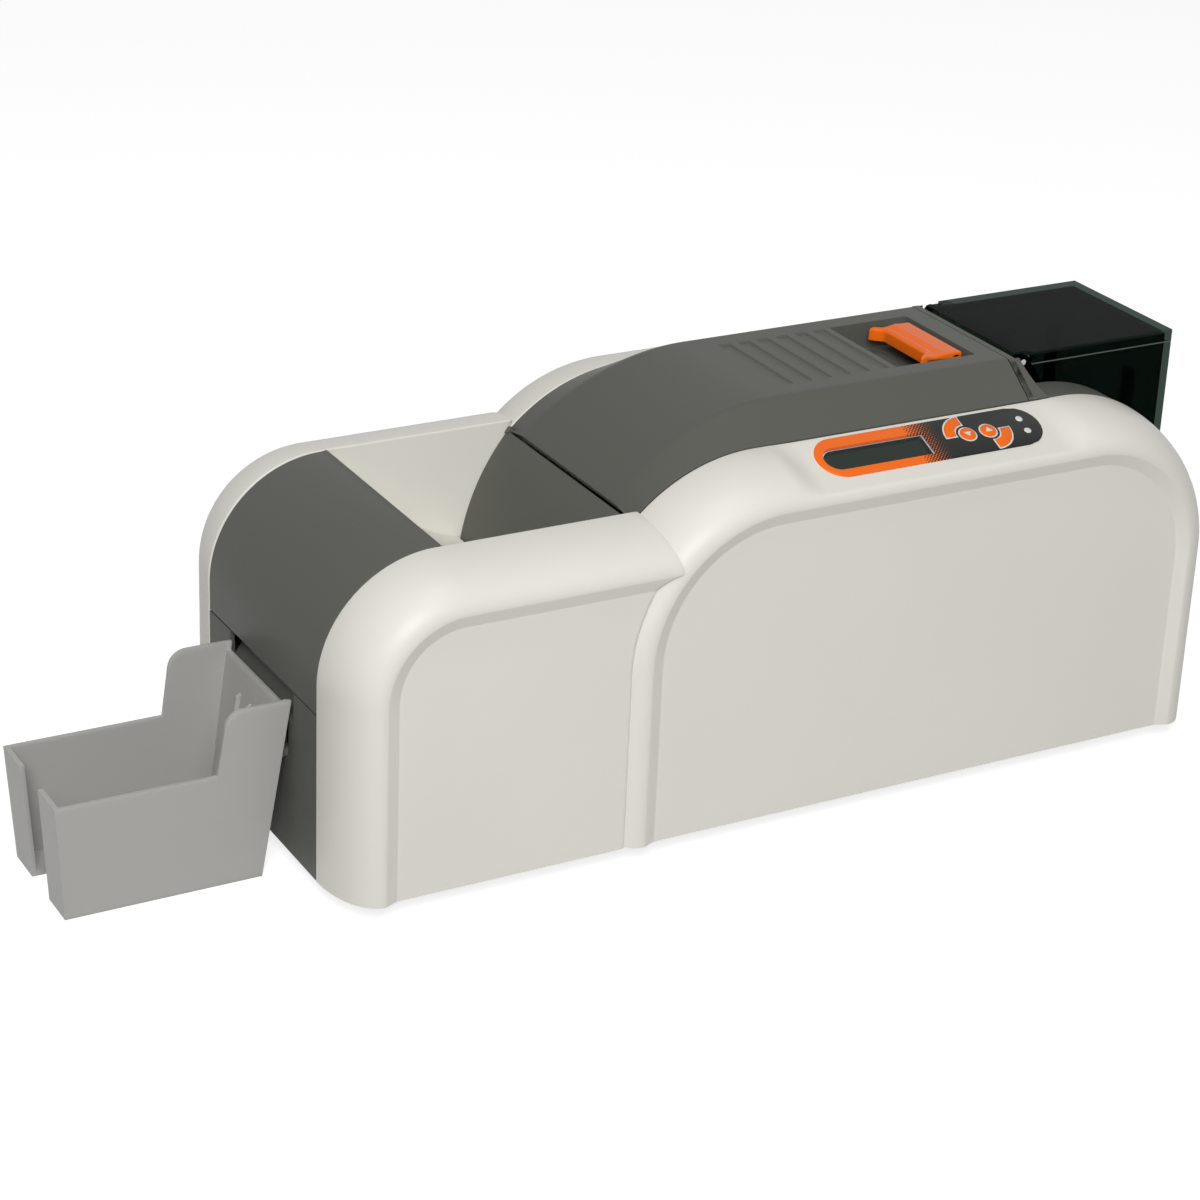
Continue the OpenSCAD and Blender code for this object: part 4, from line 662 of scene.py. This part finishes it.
def printed_field():
    """The overlay's print in the pad's own coordinates s along it and t across: an orange field
    left of s = -9.5 that breaks into a grid of dots of radius 0.42 - 0.053 s, gone at s = 7.9."""
    tree = bpy.data.node_groups.new("printed_field", "ShaderNodeTree")
    tree.interface.new_socket("Field", in_out="OUTPUT", socket_type="NodeSocketFloat")
    tree.interface.new_socket("White", in_out="OUTPUT", socket_type="NodeSocketFloat")
    node, link = tree.nodes.new, tree.links.new
    made, place, turned = node("NodeGroupOutput"), node("ShaderNodeTexCoord"), node("ShaderNodeMapping")
    turned.vector_type = "TEXTURE"
    turned.inputs["Location"].default_value = ((PAD_X - OUT_X) / 1000, -PAD_Y / 1000, (PAD_Z + OUT_Z) / 1000)
    turned.inputs["Rotation"].default_value = (PAD_TILT, 0, 0)
    turned.inputs["Scale"].default_value = (0.001, 0.001, 0.001)
    link(place.outputs["Object"], turned.inputs["Vector"])
    split = node("ShaderNodeSeparateXYZ")
    link(turned.outputs["Vector"], split.inputs["Vector"])

    def calc(op, a, b=None, c=None):
        n = node("ShaderNodeMath")
        n.operation = op
        for i, v in enumerate((a, b, c)):
            if v is None:
                continue
            if isinstance(v, (int, float)):
                n.inputs[i].default_value = v
            else:
                link(v, n.inputs[i])
        return n.outputs["Value"]

    s, t = split.outputs["X"], split.outputs["Y"]
    diag_a = calc("PINGPONG", calc("ADD", s, t), 0.9)
    diag_b = calc("PINGPONG", calc("SUBTRACT", s, t), 0.9)
    dist = calc("SQRT", calc("ADD", calc("POWER", diag_a, 2), calc("POWER", diag_b, 2)))
    reach = calc("MULTIPLY_ADD", s, -0.053, 0.42)
    dots = calc("LESS_THAN", dist, reach)
    solid = calc("LESS_THAN", s, -9.5)
    field = calc("MAXIMUM", dots, solid)

    def ring(cx, cy, r, width):
        off_s, off_t = calc("POWER", calc("SUBTRACT", s, cx), 2), calc("POWER", calc("SUBTRACT", t, cy), 2)
        d = calc("SQRT", calc("ADD", off_s, off_t))
        return d, calc("LESS_THAN", calc("ABSOLUTE", calc("SUBTRACT", d, r)), width)

    d1, r1 = ring(DOWN_S, 0, 4.3, 0.42)
    d2, r2 = ring(UP_S, 0, 4.3, 0.42)

    def arc_key(d, left, up):
        radial = calc("SUBTRACT", calc("ABSOLUTE", calc("SUBTRACT", d, 9.1)), 2.5)
        sx = calc("MULTIPLY", calc("SUBTRACT", s, DOWN_S if left else UP_S), 1 if left else -1)
        sy = calc("MULTIPLY", t, -1 if up else 1)
        far = calc("MAXIMUM", calc("MAXIMUM", radial, sx), sy)
        return calc("COMPARE", far, 0.4, 0.42)

    ring_lines = calc("MAXIMUM", r1, r2)
    arc_lines = calc("MAXIMUM", arc_key(d1, True, True), arc_key(d2, False, False))
    white_line = calc("MAXIMUM", ring_lines, arc_lines)
    link(field, made.inputs["Field"])
    link(white_line, made.inputs["White"])
    return tree


panel_black = finish("panel_black", (0.010, 0.013, 0.011), 0.3, depth=0.00001, ior=1.3)
nodes, link = panel_black.node_tree.nodes, panel_black.node_tree.links.new
shader, art = nodes["Principled BSDF"], nodes.new("ShaderNodeGroup")
art.node_tree = printed_field()
first, second = nodes.new("ShaderNodeMix"), nodes.new("ShaderNodeMix")
for mix, value in ((first, (0.95, 0.16, 0.008, 1)), (second, (0.7, 0.7, 0.68, 1))):
    mix.data_type = "RGBA"
    mix.inputs["B"].default_value = value
link(shader.inputs["Base Color"].links[0].from_socket, first.inputs["A"])
link(art.outputs["Field"], first.inputs["Factor"])
link(first.outputs["Result"], second.inputs["A"])
link(art.outputs["White"], second.inputs["Factor"])
link(second.outputs["Result"], shader.inputs["Base Color"])


def on_pad(p):
    """Points (s, t, h) of the pad's frame moved onto the shell."""
    p = np.asarray(p, float)
    c, s = np.cos(PAD_TILT), np.sin(PAD_TILT)
    y, z = -PAD_Y + c * p[..., 1] - s * p[..., 2], PAD_Z + s * p[..., 1] + c * p[..., 2]
    return np.stack([PAD_X + p[..., 0], y, z], -1)


def pad_ring(name, rings, material, **kw):
    """Closed loops of the pad's frame laid one after another into a skin; a None at the end of the
    list closes the last loop with a flat face, and one at the start the first."""
    caps = (rings[0] is None, rings[-1] is None)
    loops = np.stack([r for r in rings if r is not None])
    m, n = loops.shape[:2]
    faces = grid(m, n, loop_n=True)
    faces += ([list(range(n))] if caps[0] else []) + ([list(range((m - 1) * n, m * n))] if caps[1] else [])
    return piece(name, on_pad(loops), faces, material, **kw)


def level(loop, h):
    """A flat loop (s, t) at height h."""
    return np.c_[loop, np.full(len(loop), h)]


def cast(corner_loop, cx, cy, angles):
    """Where rays from (cx, cy) at these angles meet a closed loop of straight sides."""
    out = []
    a, b = corner_loop, np.roll(corner_loop, -1, 0)
    for g in angles:
        u = np.array([np.cos(g), np.sin(g)])
        e = b - a
        w = a - [cx, cy]
        det = u[0] * -e[:, 1] + e[:, 0] * u[1]
        det = np.where(abs(det) < 1e-12, 1e-12, det)
        r = (w[:, 0] * -e[:, 1] + e[:, 0] * w[:, 1]) / det
        k = (u[0] * w[:, 1] - u[1] * w[:, 0]) / det
        hit = r[(r > 0) & (k >= -1e-9) & (k <= 1 + 1e-9)]
        out.append([cx, cy] + u * hit.max())
    return np.array(out)


def stadium(length, width, n=40):
    """The outline of two half circles and two straight sides."""
    r, h = width / 2, length / 2 - width / 2
    return np.vstack([arc(h, 0, r, -90, 90, n), arc(-h, 0, r, 90, 270, n)])


window = rounded([[-58.6, -8.2], [-0.8, -8.2], [-0.8, 6.2], [-58.6, 6.2]], [7, 0.3, 0.3, 7], n=10)
to_corners = np.arctan2(window[:, 1] - MID_T, window[:, 0] - MID_S)
rays = np.unique(np.round(np.r_[np.linspace(-np.pi, np.pi, 240), to_corners], 5))[:-1]
edge_out = cast(stadium(124, 25), MID_S, MID_T, rays)
edge_in = cast(stadium(123.3, 24.3), MID_S, MID_T, rays)
hole = cast(window, MID_S, MID_T, rays)
sheet = [level(edge_out, 0.02), level(edge_out, 0.75), level((edge_out + edge_in) / 2, 0.95),
         level(edge_in, 1.0), level(hole, 1.0), level(hole, 0.0)]
pad_ring("panel_overlay", sheet, panel_black, slot="panel_black", node="control_panel", angle=50)
silver = finish("silver", (0.55, 0.55, 0.57), 0.3, metal=1.0, grain=1500)


def rect(cx, cy, w, h, r):
    """A rectangle with rounded corners."""
    corners = np.array([[-w, -h], [w, -h], [w, h], [-w, h]]) / 2
    return rounded(corners + (cx, cy), r)


bezel_out = rounded([[-59.9, -9.5], [0.7, -9.5], [0.7, 7.5], [-59.9, 7.5]], [7.6, 0.6, 0.6, 7.6], n=8)
bezel_in = rounded([[-58.4, -8.1], [-2.3, -8.1], [-2.3, 5.1], [-58.4, 5.1]], [6.4, 0.4, 0.4, 6.4], n=8)
frame_rings = [level(bezel_out, -1.4), level(bezel_out, -0.02), level(bezel_in, -0.02), level(bezel_in, -1.4)]
pad_ring("display_bezel", frame_rings, silver, slot="silver", node="display_frame", angle=30)
glass = finish("display_dark", (0.016, 0.026, 0.018), 0.15, depth=0.000005, ior=1.25)
lcd = rect(-29.6, -1, 60, 16.4, 0.4)
pad_ring("display_glass", [None, level(lcd, -4.3), level(lcd, -1.45), None], glass, slot="display_dark",
         node="display")


def key(name, loop, material, node, body="printer", top=1.7, foot=-2.5):
    """A key cap: its loop rises straight, then turns in over a small edge to a flat top."""
    middle = loop.mean(0)
    small = loop + (middle - loop) / np.linalg.norm(middle - loop, axis=1)[:, None] * 0.35
    rings = [None, level(loop, foot), level(loop, top - 0.35), level((loop + small) / 2, top - 0.1),
             level(small, top), None]
    return pad_ring(name, rings, material, body=body, node=node, angle=50)


def arc_loop(cx, a0, a1, r0=6.6, r1=11.6):
    """The outline of a quarter ring."""
    return rounded(np.vstack([arc(cx, 0, r1, a0, a1, 16), arc(cx, 0, r0, a1, a0, 12)]),
                   np.r_[0.5, np.zeros(14), 0.5, 0.5, np.zeros(10), 0.5], n=3)


key("key_down", arc(DOWN_S, 0, 3.9, 0, 350, 36), orange, "button_down", "button_down")
key("key_up", arc(UP_S, 0, 3.9, 0, 350, 36), orange, "button_up", "button_up")
mark = finish("light_white", (0.72, 0.72, 0.70), 0.35)
for name, cx, way in (("down", DOWN_S, -1), ("up", UP_S, 1)):
    sign = np.array([[-1.9, -1.0], [1.9, -1.0], [0, 1.9]])[::way] * (1, way) + (cx, 0)
    rings = [None, level(sign, 1.65), level(sign, 1.74), None]
    pad_ring(f"key_{name}_mark", rings, mark, body=f"button_{name}", slot="light_white")
key("key_escape", arc_loop(DOWN_S, 90, 180), orange, "button_escape", "button_escape")
key("key_enter", arc_loop(UP_S, -90, 0), orange, "button_enter", "button_enter")
for k, t in enumerate((-4.1, 4.1)):
    lens = arc(52.8, t, 1.9, 0, 345, 24)
    key(f"status_lens_{k}", lens, mark, "status_lights" if k == 0 else None, top=1.25, foot=-4.3)

# ---------------------------------------------------------------------------------------------
# Studio: camera, floor and lamps.
# The camera matches the photo; the floor and the background are white, with a large soft lamp
# at the front left and a small one above.
# ---------------------------------------------------------------------------------------------
lens_data = bpy.data.cameras.new("camera")
lens_data.lens, lens_data.sensor_width = 94.0, 36.0
lens_data.clip_start, lens_data.clip_end = 0.05, 20
camera = bpy.data.objects.new("camera", lens_data)
bpy.context.collection.objects.link(camera)
az, el, roll = np.radians([-29.78, 24.48, 2.46])
back = np.array([np.sin(az) * np.cos(el), -np.cos(az) * np.cos(el), np.sin(el)])
right = np.array([np.cos(az), np.sin(az), 0.0])
up = np.cross(back, right)
cam_x, cam_y = right * np.cos(roll) + up * np.sin(roll), -right * np.sin(roll) + up * np.cos(roll)
matrix = np.eye(4)
matrix[:3, 0], matrix[:3, 1], matrix[:3, 2] = cam_x, cam_y, back
matrix[:3, 3] = np.array([-0.0054, 0, 0.08984]) + back * 1.4903
camera.matrix_world = Matrix(matrix.tolist())
bpy.context.scene.camera = camera


def seen_rays(tree):
    """1 for rays of the camera, mirrors and glass, 0 for the rays that light the object."""
    node, link = tree.nodes.new, tree.links.new
    path, first, second = node("ShaderNodeLightPath"), node("ShaderNodeMath"), node("ShaderNodeMath")
    first.operation = second.operation = "MAXIMUM"
    link(path.outputs["Is Camera Ray"], first.inputs[0])
    link(path.outputs["Is Glossy Ray"], first.inputs[1])
    link(first.outputs["Value"], second.inputs[0])
    link(path.outputs["Is Transmission Ray"], second.inputs[1])
    return second.outputs["Value"]


world = bpy.data.worlds.new("studio")
bpy.context.scene.world = world
world.use_nodes = True
tree = world.node_tree
tree.nodes.clear()
plain, lit, mix = (tree.nodes.new(f"ShaderNode{k}") for k in ("Background", "Background", "MixShader"))
plain.inputs["Color"].default_value = (1, 1, 1, 1)
lit.inputs["Color"].default_value, lit.inputs["Strength"].default_value = (1, 1, 1, 1), 0.15
tree.links.new(seen_rays(tree), mix.inputs["Fac"])
tree.links.new(lit.outputs["Background"], mix.inputs[1])
tree.links.new(plain.outputs["Background"], mix.inputs[2])
tree.links.new(mix.outputs["Shader"], tree.nodes.new("ShaderNodeOutputWorld").inputs["Surface"])

sheet = bpy.data.meshes.new("floor")
sheet.from_pydata([(-3, -3, 0), (3, -3, 0), (3, 3, 0), (-3, 3, 0)], [], [(0, 1, 2, 3)])
floor = bpy.data.objects.new("floor", sheet)
bpy.context.collection.objects.link(floor)
paper = bpy.data.materials.new("floor_paper")
paper.use_nodes = True
tree = paper.node_tree
shader, glow, lift = tree.nodes["Principled BSDF"], tree.nodes.new("ShaderNodeMath"), 0.79
shader.inputs["Base Color"].default_value = (0.5, 0.5, 0.5, 1)
shader.inputs["Roughness"].default_value = 0.9
shader.inputs["Specular IOR Level"].default_value = 0
shader.inputs["Emission Color"].default_value = (1, 1, 1, 1)
glow.operation, glow.inputs[1].default_value = "MULTIPLY", lift
tree.links.new(seen_rays(tree), glow.inputs[0])
tree.links.new(glow.outputs["Value"], shader.inputs["Emission Strength"])
sheet.materials.append(paper)


def lamp(name, place, target, size, power, color=(1, 1, 1)):
    """A square soft lamp that looks at a target."""
    data = bpy.data.lights.new(name, "AREA")
    data.size, data.energy, data.color = size, power, color
    made = bpy.data.objects.new(name, data)
    bpy.context.collection.objects.link(made)
    z = np.array(place, float) - target
    z /= np.linalg.norm(z)
    x = np.cross([0, 0, 1.0], z)
    x /= np.linalg.norm(x)
    m = np.eye(4)
    m[:3, 0], m[:3, 1], m[:3, 2], m[:3, 3] = x, np.cross(z, x), z, place
    made.matrix_world = Matrix(m.tolist())


lamp("key", (-1.05, -1.95, 1.75), (0, 0, 0.1), 1.1, 54)
lamp("top", (-0.22, -0.5, 2.4), (0, 0, 0.1), 0.4, 8)
bpy.context.scene.view_settings.view_transform = "Standard"
